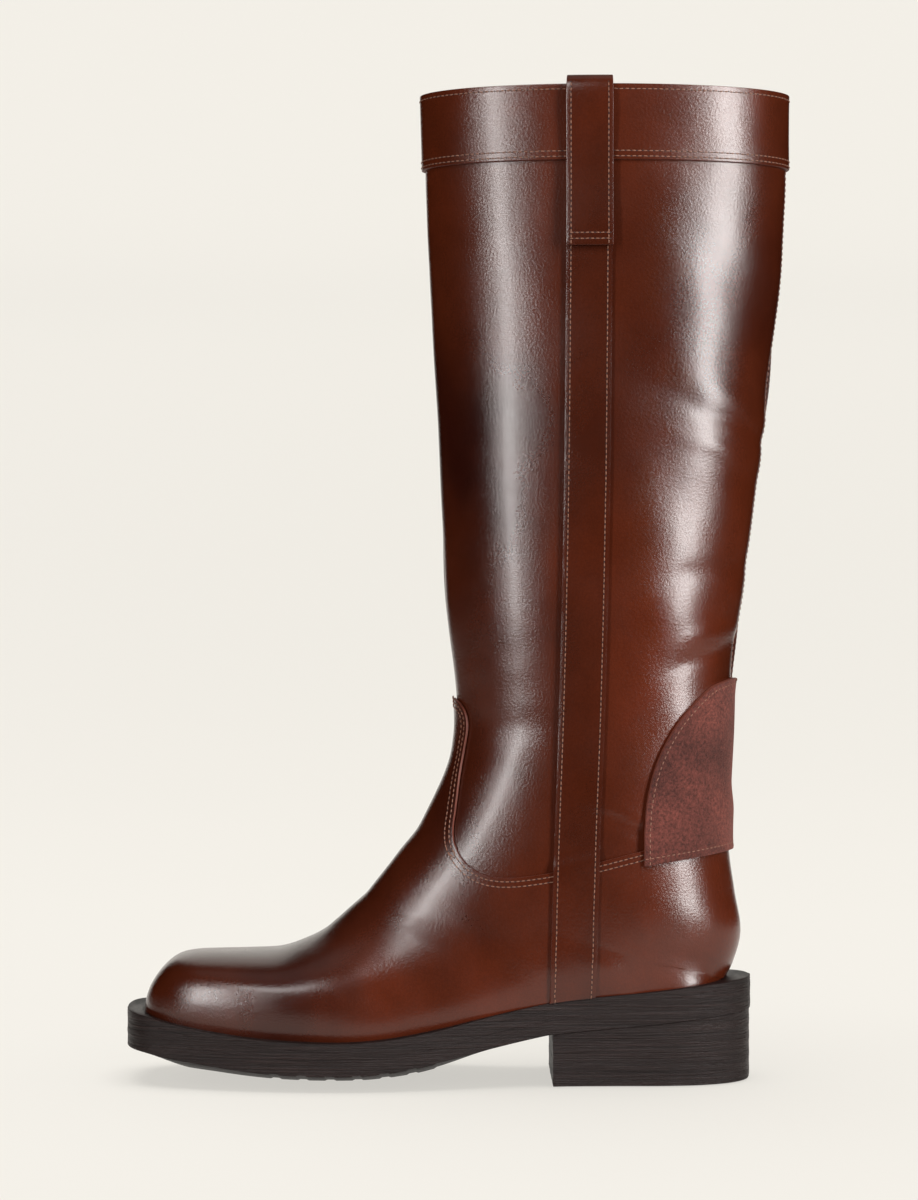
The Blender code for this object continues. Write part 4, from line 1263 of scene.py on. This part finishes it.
class Outline:
    """Half widths of a plate seen from above."""

    def __init__(self, inset=0.0, feather=False):
        if feather:
            rows = np.linspace(11, LAST, 65)
            outer = surface(rows, np.full(65, 1.0))[:, :2]
            inner = surface(rows[::-1], np.full(65, -1.0))[:, :2]
        else:
            outer = SOLE_OUTER
            inner = [SOLE_OUTER[-1]] + SOLE_INNER + [SOLE_OUTER[0]]
        self.sides = []
        for points in (outer, inner):
            line = inset_line(points, inset)
            self.sides.append(line[np.argsort(line[:, 0])])
        self.low = max(side[0, 0] for side in self.sides) + 0.02
        self.high = min(side[-1, 0] for side in self.sides) - 0.02

    def widths(self, x):
        outer = np.interp(x, self.sides[0][:, 0], self.sides[0][:, 1])
        inner = np.interp(x, self.sides[1][:, 0], self.sides[1][:, 1])
        return min(float(outer), -0.02), max(float(inner), 0.02)


def end_spaced(low, high, count):
    t = np.linspace(0.0, math.pi, count)
    return low + (high - low) * (1 - np.cos(t)) / 2


def back_spaced(low, high, count):
    """x rows that crowd towards the rounded back end only."""
    t = np.linspace(0.0, math.pi / 2, count)
    return low + (high - low) * np.sin(t)


def scores(x, y, z):
    """Fine scored lines round the stained edges, in millimetres."""
    s = x * 0.031 + y * 0.043
    line = np.sin(2 * math.pi * (z / 1.13 + 0.35 * np.sin(s * 1.9)))
    line = line * (0.6 + 0.4 * np.sin(s * 5.3 + z * 0.7))
    fine = np.sin(2 * math.pi * (z / 0.61 + 0.5 * np.sin(s * 3.1 + 1.0)))
    broad = np.sin(z * 0.83 + 2.0 * np.sin(s * 0.9))
    return 0.075 * line + 0.05 * fine + 0.06 * broad


def layer(name, node, outline, xs, top, low, sizes, kind="sole", levels=8,
          columns=9, score=1.0, soft_up=0.0, soft_low=0.0):
    """One layer of the sole or heel, with scored walls."""
    upper, lower, number, index = [], [], [], {}
    for x in xs:
        left, right = outline.widths(x)
        row = []
        for t in np.linspace(0.0, 1.0, columns):
            y = left + (right - left) * t
            key = (round(x, 3), round(y, 2))
            if key not in index:
                index[key] = len(upper)
                upper.append((x, y, float(top(x, y))))
                lower.append((x, y, float(low(x, y))))
            row.append(index[key])
        number.append(row)
    faces = []
    for i in range(len(number) - 1):
        for j in range(columns - 1):
            loop = []
            for n in (number[i][j], number[i + 1][j], number[i + 1][j + 1],
                      number[i][j + 1]):
                if n not in loop:
                    loop.append(n)
            if len(loop) > 2:
                faces.append(tuple(loop))
    rim = dict(boundary(faces))
    start = next(iter(rim))
    loop = [start]
    while rim[loop[-1]] != start:
        loop.append(rim[loop[-1]])
    upper, lower = np.array(upper), np.array(lower)
    round_up, round_low = upper[loop], lower[loop]
    way = np.roll(round_up, -1, axis=0) - np.roll(round_up, 1, axis=0)
    out = np.stack([way[:, 1], -way[:, 0]], axis=1)
    out /= np.maximum(np.linalg.norm(out, axis=1, keepdims=True), 1e-9)
    centre = round_up[:, :2].mean(axis=0)
    facing = np.sum(out * (round_up[:, :2] - centre), axis=1).sum()
    if facing < 0:
        out = -out
    upper[loop, :2] -= out * soft_up
    lower[loop, :2] -= out * soft_low
    bm = bmesh.new()
    tops = [bm.verts.new(Vector(p) * MM) for p in upper.tolist()]
    lows = [bm.verts.new(Vector(p) * MM) for p in lower.tolist()]
    for face in faces:
        bm.faces.new([tops[k] for k in face])
        bm.faces.new([lows[k] for k in reversed(face)])
    belts = [[tops[k] for k in loop]]
    for share in np.linspace(0.0, 1.0, levels + 1):
        height = round_up[:, 2] + (round_low[:, 2] - round_up[:, 2]) * share
        if share == 0.0:
            height = height - max(soft_up * 0.8, 0.01)
        if share == 1.0:
            height = height + max(soft_low * 0.8, 0.01)
        push = scores(round_up[:, 0], round_up[:, 1], height) * score
        place = round_up[:, :2] + out * push[:, None]
        belts.append([bm.verts.new(Vector((p[0], p[1], h)) * MM)
                      for p, h in zip(place.tolist(), height.tolist())])
    belts.append([lows[k] for k in loop])
    count = len(loop)
    for high_belt, low_belt in zip(belts, belts[1:]):
        for k in range(count):
            n = (k + 1) % count
            bm.faces.new([high_belt[n], high_belt[k], low_belt[k],
                          low_belt[n]])
    mat = finish_mat(kind, sizes)
    piece = object_from(name, bm, [mat], 60.0)
    riding(piece, "foot", node)
    return piece


def sole_edge_low(x):
    return sole_top(x) - STACK - 1.6 * ramp(-x, 105.0, 145.0)


BAR_STEP = 12.0
BAR_EDGE = 1.1
BAR_WIDTH = 8.0
TREAD_FRONT = -91.0
TREAD_BACK = 5.0


def make_sole(sizes):
    edge = Outline()
    xs = end_spaced(edge.low, edge.high, 121)
    layer("welt_strip", "welt", edge, xs, lambda x, y: sole_top(x),
          lambda x, y: sole_top(x) - 3.34, sizes, levels=9, soft_up=0.3)
    layer("midsole_layer", "midsole", edge, xs,
          lambda x, y: sole_top(x) - 3.36, lambda x, y: sole_top(x) - 7.64,
          sizes, levels=11)
    groove = round(sizes.groove_depth / MM, 3)
    bars, x = [], TREAD_FRONT
    while x + BAR_STEP < TREAD_BACK:
        bars += [x, x + BAR_EDGE, x + BAR_WIDTH / 2, x + BAR_WIDTH,
                 x + BAR_WIDTH + BAR_EDGE]
        x += BAR_STEP
    end = x

    def tread(x, y):
        left, right = edge.widths(x)
        rim = float(sole_edge_low(x))
        if x > BREAST_X:
            return rim
        half = left if y < 0 else right
        crown = 1.0 - min(abs(y / half), 1.0) ** 2.2
        level = rim - min(6.6, rim) * crown * float(
            ramp(-x, -38.0, 20.0) * (1 - ramp(-x, 118.0, 147.0)))
        level = max(level, 0.0)
        if TREAD_FRONT < x < end:
            phase = (x - TREAD_FRONT) % BAR_STEP
            if phase < 1e-6 or phase > BAR_WIDTH + BAR_EDGE - 1e-6:
                level += groove
        elif x >= end:
            level += groove
        return level

    rows = [r for r in xs if r < TREAD_FRONT - 1 or r > end + 2]
    rows = sorted(set(list(rows) + bars + [end, BREAST_X, BREAST_X + 0.2]))
    layer("outsole_rubber", "outsole", edge, rows,
          lambda x, y: sole_top(x) - 7.66, tread, sizes, levels=16,
          columns=17, soft_low=0.3)

    sock = Outline(6.4, feather=True)
    layer("sock_liner_leather", "sock_liner", sock,
          end_spaced(sock.low, sock.high, 61),
          lambda x, y: sole_top(x) + 4.3, lambda x, y: sole_top(x) + 3.1,
          sizes, kind="lining", levels=2, score=0.0)


TOP_LIFT_Z = 6.14
LAYER_GAP = 0.02
LIFT_T = 4.28


def make_heel(sizes):
    heel = Outline(0.5)
    xs = np.concatenate([[BREAST_X, 46.0, 52.0, 58.0, 64.0],
                         back_spaced(70.0, heel.high, 30)])
    layer("top_lift_rubber", "top_lift", heel, xs, lambda x, y: TOP_LIFT_Z,
          lambda x, y: 0.0, sizes, levels=18, columns=13,
          soft_low=0.35)
    level = TOP_LIFT_Z + LAYER_GAP
    for k in range(3):
        low = level
        high = low + LIFT_T
        layer("heel_lift_%d_leather" % (k + 1), "heel_lift_%d" % (k + 1), heel,
              xs, lambda x, y, h=high: h, lambda x, y, w=low: w, sizes,
              levels=12, columns=13)
        level = high + LAYER_GAP
    layer("heel_wedge_leather", "heel_wedge", heel, xs,
          lambda x, y: sole_edge_low(x) - LAYER_GAP, lambda x, y: level, sizes,
          levels=26, columns=13)


def dress_hidden(sizes):
    """Finishes for the stiffeners, board, shank and nails inside."""
    finishes = {
        "vamp_backing": ("cotton_drill", (0.62, 0.56, 0.46), 900.0, 0.0, 0.9),
        "toe_puff": ("stiffener", (0.55, 0.50, 0.42), 500.0, 0.0, 0.8),
        "heel_counter": ("stiffener", (0.55, 0.50, 0.42), 500.0, 0.0, 0.8),
        "insole_board": ("fibre_board", (0.36, 0.24, 0.14), 400.0, 0.0, 0.85),
        "cork_filler": ("cork", (0.45, 0.27, 0.13), 260.0, 0.0, 0.9),
        "shank": ("spring_steel", (0.55, 0.55, 0.56), 700.0, 1.0, 0.4),
    }
    for k in range(5):
        finishes["heel_nail_%d" % (k + 1)] = finishes["shank"]
    for node, (name, colour, scale, metal, rough) in finishes.items():
        if name not in _made:
            _made[name] = plain_fibre(name, colour, scale, metal, rough)
        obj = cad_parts[node]
        for k in range(max(len(obj.material_slots), 1)):
            if k >= len(obj.material_slots):
                obj.data.materials.append(_made[name])
            obj.material_slots[k].material = _made[name]


# --------------------------------------------------------------------- stage
def only_or_not(name, obj, state):
    """A light-linking set that holds or leaves out one object."""
    group = bpy.data.collections.new(name)
    group.objects.link(obj)
    group.collection_objects[0].light_linking.link_state = state
    return group


def soft_light(name, place, aim, width, height, power, colour, receivers):
    lamp = bpy.data.lights.new(name, "AREA")
    lamp.shape = "RECTANGLE"
    lamp.size = width
    lamp.size_y = height
    lamp.energy = power
    lamp.color = colour
    obj = bpy.data.objects.new(name, lamp)
    obj.location = place
    way = Vector(aim) - Vector(place)
    obj.rotation_euler = way.to_track_quat("-Z", "Y").to_euler()
    bpy.context.scene.collection.objects.link(obj)
    obj.light_linking.receiver_collection = receivers
    obj.visible_camera = False
    return obj


def paper_sheet(name, profile, mat, half_width):
    """A sheet of paper along a profile of (y, z) points."""
    bm = bmesh.new()
    rows = [[bm.verts.new((x, y, z)) for y, z in profile]
            for x in (-half_width, 0.0, half_width)]
    for a, b in zip(rows, rows[1:]):
        for k in range(len(a) - 1):
            bm.faces.new([a[k], b[k], b[k + 1], a[k + 1]])
    sheet = object_from(name, bm, [mat])
    return sheet


def paper_room(name, profile, mat, count=64):
    """A round room turned from a profile of (radius, z) points."""
    bm = bmesh.new()
    hub = bm.verts.new((0.0, 0.0, profile[0][1]))
    rings = []
    for radius, z in profile[1:]:
        rings.append([bm.verts.new((radius * math.cos(a), radius * math.sin(a),
                                    z)) for a in (
            2 * math.pi * k / count for k in range(count))])
    for k in range(count):
        n = (k + 1) % count
        bm.faces.new([hub, rings[0][k], rings[0][n]])
        for low, high in zip(rings, rings[1:]):
            bm.faces.new([low[k], high[k], high[n], low[n]])
    room = object_from(name, bm, [mat])
    return room


PAPER_SEAM_Y = -0.36
PAPER_SHARE = 0.28           # how much of the paper's tone comes from light


def paper_mat(name, paper, glow, shade, floor_glow=None):
    """Pale paper that glows a little, so that it stays even."""
    mat, tree, shader = shader_mat(name)
    fleck = noise(tree, 3.0, 2.0)
    base = ramp_node(tree, fleck, [(0.3, darker(paper, shade * 0.99)),
                                   (0.7, darker(paper, shade))])
    tree.links.new(base, shader.inputs["Base Color"])
    shader.inputs["Roughness"].default_value = 1.0
    shader.inputs["Specular IOR Level"].default_value = 0.0
    shader.inputs["Emission Color"].default_value = (*paper, 1.0)
    if floor_glow is None:
        shader.inputs["Emission Strength"].default_value = glow
        return mat
    lie = add_node(tree, "ShaderNodeNewGeometry")
    split = add_node(tree, "ShaderNodeSeparateXYZ")
    tree.links.new(lie.outputs["Normal"], split.inputs[0])
    level = add_node(tree, "ShaderNodeMapRange")
    level.inputs["To Min"].default_value = glow
    level.inputs["To Max"].default_value = floor_glow
    tree.links.new(split.outputs["Z"], level.inputs["Value"])
    tree.links.new(level.outputs["Result"], shader.inputs["Emission Strength"])
    return mat


def make_stage(sizes):
    """Pale sweep, camera and soft studio lights."""
    paper = tuple(sizes.paper)
    profile = smooth_line([(1.0, 0.0), (1.6, 0.05), (2.0, 0.2), (2.25, 0.5),
                           (2.35, 1.0), (2.4, 3.4)], 41).tolist()
    floor = -0.0004
    profile = [(y, max(z, 0.0) + floor) for y, z in profile]
    sweep = paper_sheet("sweep", [(PAPER_SEAM_Y, floor)] + profile,
                        paper_mat("pale_paper", paper, sizes.wall_glow,
                                  PAPER_SHARE, sizes.floor_glow), 0.85)
    curve = smooth_line([(4.6, 0.0), (5.4, 0.06), (5.8, 0.3), (6.0, 0.9),
                         (6.0, 5.0)], 25).tolist()
    room = paper_room("room", [(0.0, 1.5 * floor)] + [
        (r, max(z, 0.0) + 1.5 * floor) for r, z in curve],
        paper_mat("room_paper", paper, sizes.front_glow, 0.0))
    white = (1.0, 0.985, 0.97)
    on_paper = only_or_not("paper_only", sweep, "INCLUDE")
    off_paper = only_or_not("not_paper", sweep, "EXCLUDE")
    room.light_linking.receiver_collection = on_paper
    soft_light("left_strip", (-0.98, -1.24, 0.56), (0.02, 0.0, 0.24),
               0.20, 1.4, sizes.left_power, white, off_paper)
    soft_light("right_strip", (1.22, -1.02, 0.60), (0.08, 0.0, 0.24),
               0.40, 1.5, sizes.right_power, white, off_paper)
    soft_light("overhead", (0.0, 0.1, 2.2), (0.0, 0.2, 0.0), 1.6, 1.2,
               sizes.top_power, white, off_paper)
    soft_light("toe_light", (-0.50, -1.05, 1.45), (-0.08, 0.0, 0.05),
               0.5, 0.35, sizes.toe_power, white, off_paper)
    sun = bpy.data.lights.new("paper_light", "SUN")
    sun.energy = sizes.paper_power
    sun.angle = math.radians(60.0)
    sun.color = white
    lamp = bpy.data.objects.new("paper_light", sun)
    bpy.context.scene.collection.objects.link(lamp)
    lamp.light_linking.receiver_collection = on_paper

    camera = bpy.data.cameras.new("camera")
    camera.lens = 96.67
    camera.sensor_width = 36.0
    camera.clip_end = 20.0
    obj = bpy.data.objects.new("camera", camera)
    obj.location = (0.0, -1.45, 0.21375)
    obj.rotation_euler = (math.radians(90.0), 0.0, 0.0)
    bpy.context.scene.collection.objects.link(obj)
    bpy.context.scene.camera = obj

    world = bpy.data.worlds.new("studio")
    bpy.context.scene.world = world
    world.use_nodes = True
    back = world.node_tree.nodes["Background"]
    back.inputs["Color"].default_value = (0.9, 0.88, 0.85, 1.0)
    back.inputs["Strength"].default_value = sizes.room
    bpy.context.scene.view_settings.view_transform = "Standard"
    bpy.context.scene.view_settings.look = "None"


# --------------------------------------------------------- properties and ui
def colour_prop(label, text, value):
    return bpy.props.FloatVectorProperty(
        name=label, description=text, default=value, size=3, min=0.0, max=1.0,
        subtype="COLOR")


def power_prop(label, text, value):
    return bpy.props.FloatProperty(name=label, description=text, default=value,
                                   min=0.0)


def length_prop(label, text, value):
    return bpy.props.FloatProperty(name=label, description=text, default=value,
                                   min=0.0001, precision=5, unit="LENGTH")


class BootLooks(bpy.types.PropertyGroup):
    """Sizes, colours and lights that a user may change."""

    stitch_pitch: length_prop("Stitch pitch", "From one stitch to the next",
                              0.00235)
    stitch_length: length_prop("Stitch length", "Length of one stitch", 0.0016)
    groove_depth: length_prop("Groove depth", "Depth of the tread's grooves",
                              0.0005)
    leather_dark: colour_prop("Dark leather", "Colour of the shaded clouds",
                              (0.016, 0.0025, 0.0012))
    leather_mid: colour_prop("Leather", "Main colour of the leather",
                             (0.047, 0.0084, 0.0028))
    leather_bright: colour_prop("Bright leather", "Colour where it is pulled",
                                (0.092, 0.0150, 0.0048))
    edge: colour_prop("Cut edge", "Colour of the cut edges",
                      (0.13, 0.026, 0.012))
    thread: colour_prop("Thread", "Colour of the stitching",
                        (0.20, 0.085, 0.050))
    nap: colour_prop("Roughout", "Colour of the spur rest",
                     (0.064, 0.0165, 0.0120))
    lining: colour_prop("Lining", "Colour of the lining", (0.42, 0.26, 0.15))
    sole: colour_prop("Sole edge", "Colour of the stained edges",
                      (0.0086, 0.0043, 0.0038))
    rubber: colour_prop("Rubber", "Colour of the tread",
                        (0.016, 0.014, 0.014))
    paper: colour_prop("Paper", "Colour of the floor and backdrop",
                       (0.88, 0.855, 0.80))
    wall_glow: power_prop("Wall glow", "Evens out the backdrop", 0.80)
    floor_glow: power_prop("Floor glow", "Evens out the floor", 0.665)
    front_glow: power_prop("Front glow", "Evens out the front floor", 1.0)
    paper_power: power_prop("Paper light", "Lights the paper only", 3.0)
    left_power: power_prop("Left light", "Power in watts", 24.0)
    right_power: power_prop("Right light", "Power in watts", 50.0)
    toe_power: power_prop("Toe light", "Power in watts", 7.0)
    top_power: power_prop("Overhead light", "Power in watts", 2.0)
    room: power_prop("Room light", "Strength of the room's light", 0.01)


class Step:
    """Runs the step's own maker with the scene's looks."""

    def execute(self, context):
        self.make(context.scene.boot_looks)
        return {"FINISHED"}


class BOOT_OT_vamp(Step, bpy.types.Operator):
    """Makes the vamp and the heel foxing"""

    bl_idname = "boot.vamp"
    bl_label = "Vamp and Foxing"
    make = staticmethod(make_vamp)


class BOOT_OT_shaft(Step, bpy.types.Operator):
    """Makes the front and back panels of the shaft"""

    bl_idname = "boot.shaft"
    bl_label = "Shaft Panels"
    make = staticmethod(make_shaft)


class BOOT_OT_collar(Step, bpy.types.Operator):
    """Makes the band round the mouth"""

    bl_idname = "boot.collar"
    bl_label = "Collar Band"
    make = staticmethod(make_collar)


class BOOT_OT_straps(Step, bpy.types.Operator):
    """Makes the straps down both sides"""

    bl_idname = "boot.straps"
    bl_label = "Side Straps"
    make = staticmethod(make_straps)


class BOOT_OT_loops(Step, bpy.types.Operator):
    """Makes the pull loops at the rim"""

    bl_idname = "boot.loops"
    bl_label = "Pull Loops"
    make = staticmethod(make_loops)


class BOOT_OT_spur_rest(Step, bpy.types.Operator):
    """Makes the roughout spur rest"""

    bl_idname = "boot.spur_rest"
    bl_label = "Spur Rest"
    make = staticmethod(make_spur_rest)


class BOOT_OT_linings(Step, bpy.types.Operator):
    """Makes the linings of the shaft, vamp and heel"""

    bl_idname = "boot.linings"
    bl_label = "Linings"
    make = staticmethod(make_linings)


class BOOT_OT_sole(Step, bpy.types.Operator):
    """Makes the welt, midsole, outsole and sock liner"""

    bl_idname = "boot.sole"
    bl_label = "Sole"
    make = staticmethod(make_sole)


class BOOT_OT_heel(Step, bpy.types.Operator):
    """Makes the stacked heel and its top lift"""

    bl_idname = "boot.heel"
    bl_label = "Heel"
    make = staticmethod(make_heel)


class BOOT_OT_hidden(Step, bpy.types.Operator):
    """Finishes the parts hidden between leather and lining"""

    bl_idname = "boot.hidden"
    bl_label = "Hidden Parts"
    make = staticmethod(dress_hidden)


class BOOT_OT_stage(Step, bpy.types.Operator):
    """Makes the sweep, the camera and the lights"""

    bl_idname = "boot.stage"
    bl_label = "Stage"
    make = staticmethod(make_stage)


STEPS = (BOOT_OT_vamp, BOOT_OT_shaft, BOOT_OT_collar, BOOT_OT_straps,
         BOOT_OT_loops, BOOT_OT_spur_rest, BOOT_OT_linings, BOOT_OT_sole,
         BOOT_OT_heel, BOOT_OT_hidden, BOOT_OT_stage)


class BOOT_PT_panel(bpy.types.Panel):
    """Lists the boot's colours, lights and steps"""

    bl_idname = "BOOT_PT_panel"
    bl_label = "Riding Boot"
    bl_space_type = "VIEW_3D"
    bl_region_type = "UI"
    bl_category = "Riding Boot"

    def draw(self, context):
        looks = context.scene.boot_looks
        for name in BootLooks.__annotations__:
            self.layout.prop(looks, name)
        for step in STEPS:
            self.layout.operator(step.bl_idname)


CLASSES = (BootLooks,) + STEPS + (BOOT_PT_panel,)


def register():
    for cls in CLASSES:
        bpy.utils.register_class(cls)
    bpy.types.Scene.boot_looks = bpy.props.PointerProperty(type=BootLooks)


def unregister():
    del bpy.types.Scene.boot_looks
    for cls in reversed(CLASSES):
        bpy.utils.unregister_class(cls)


def main():
    register()
    for step in STEPS:
        family, name = step.bl_idname.split(".")
        getattr(getattr(bpy.ops, family), name)()


if __name__ == "__main__":
    main()
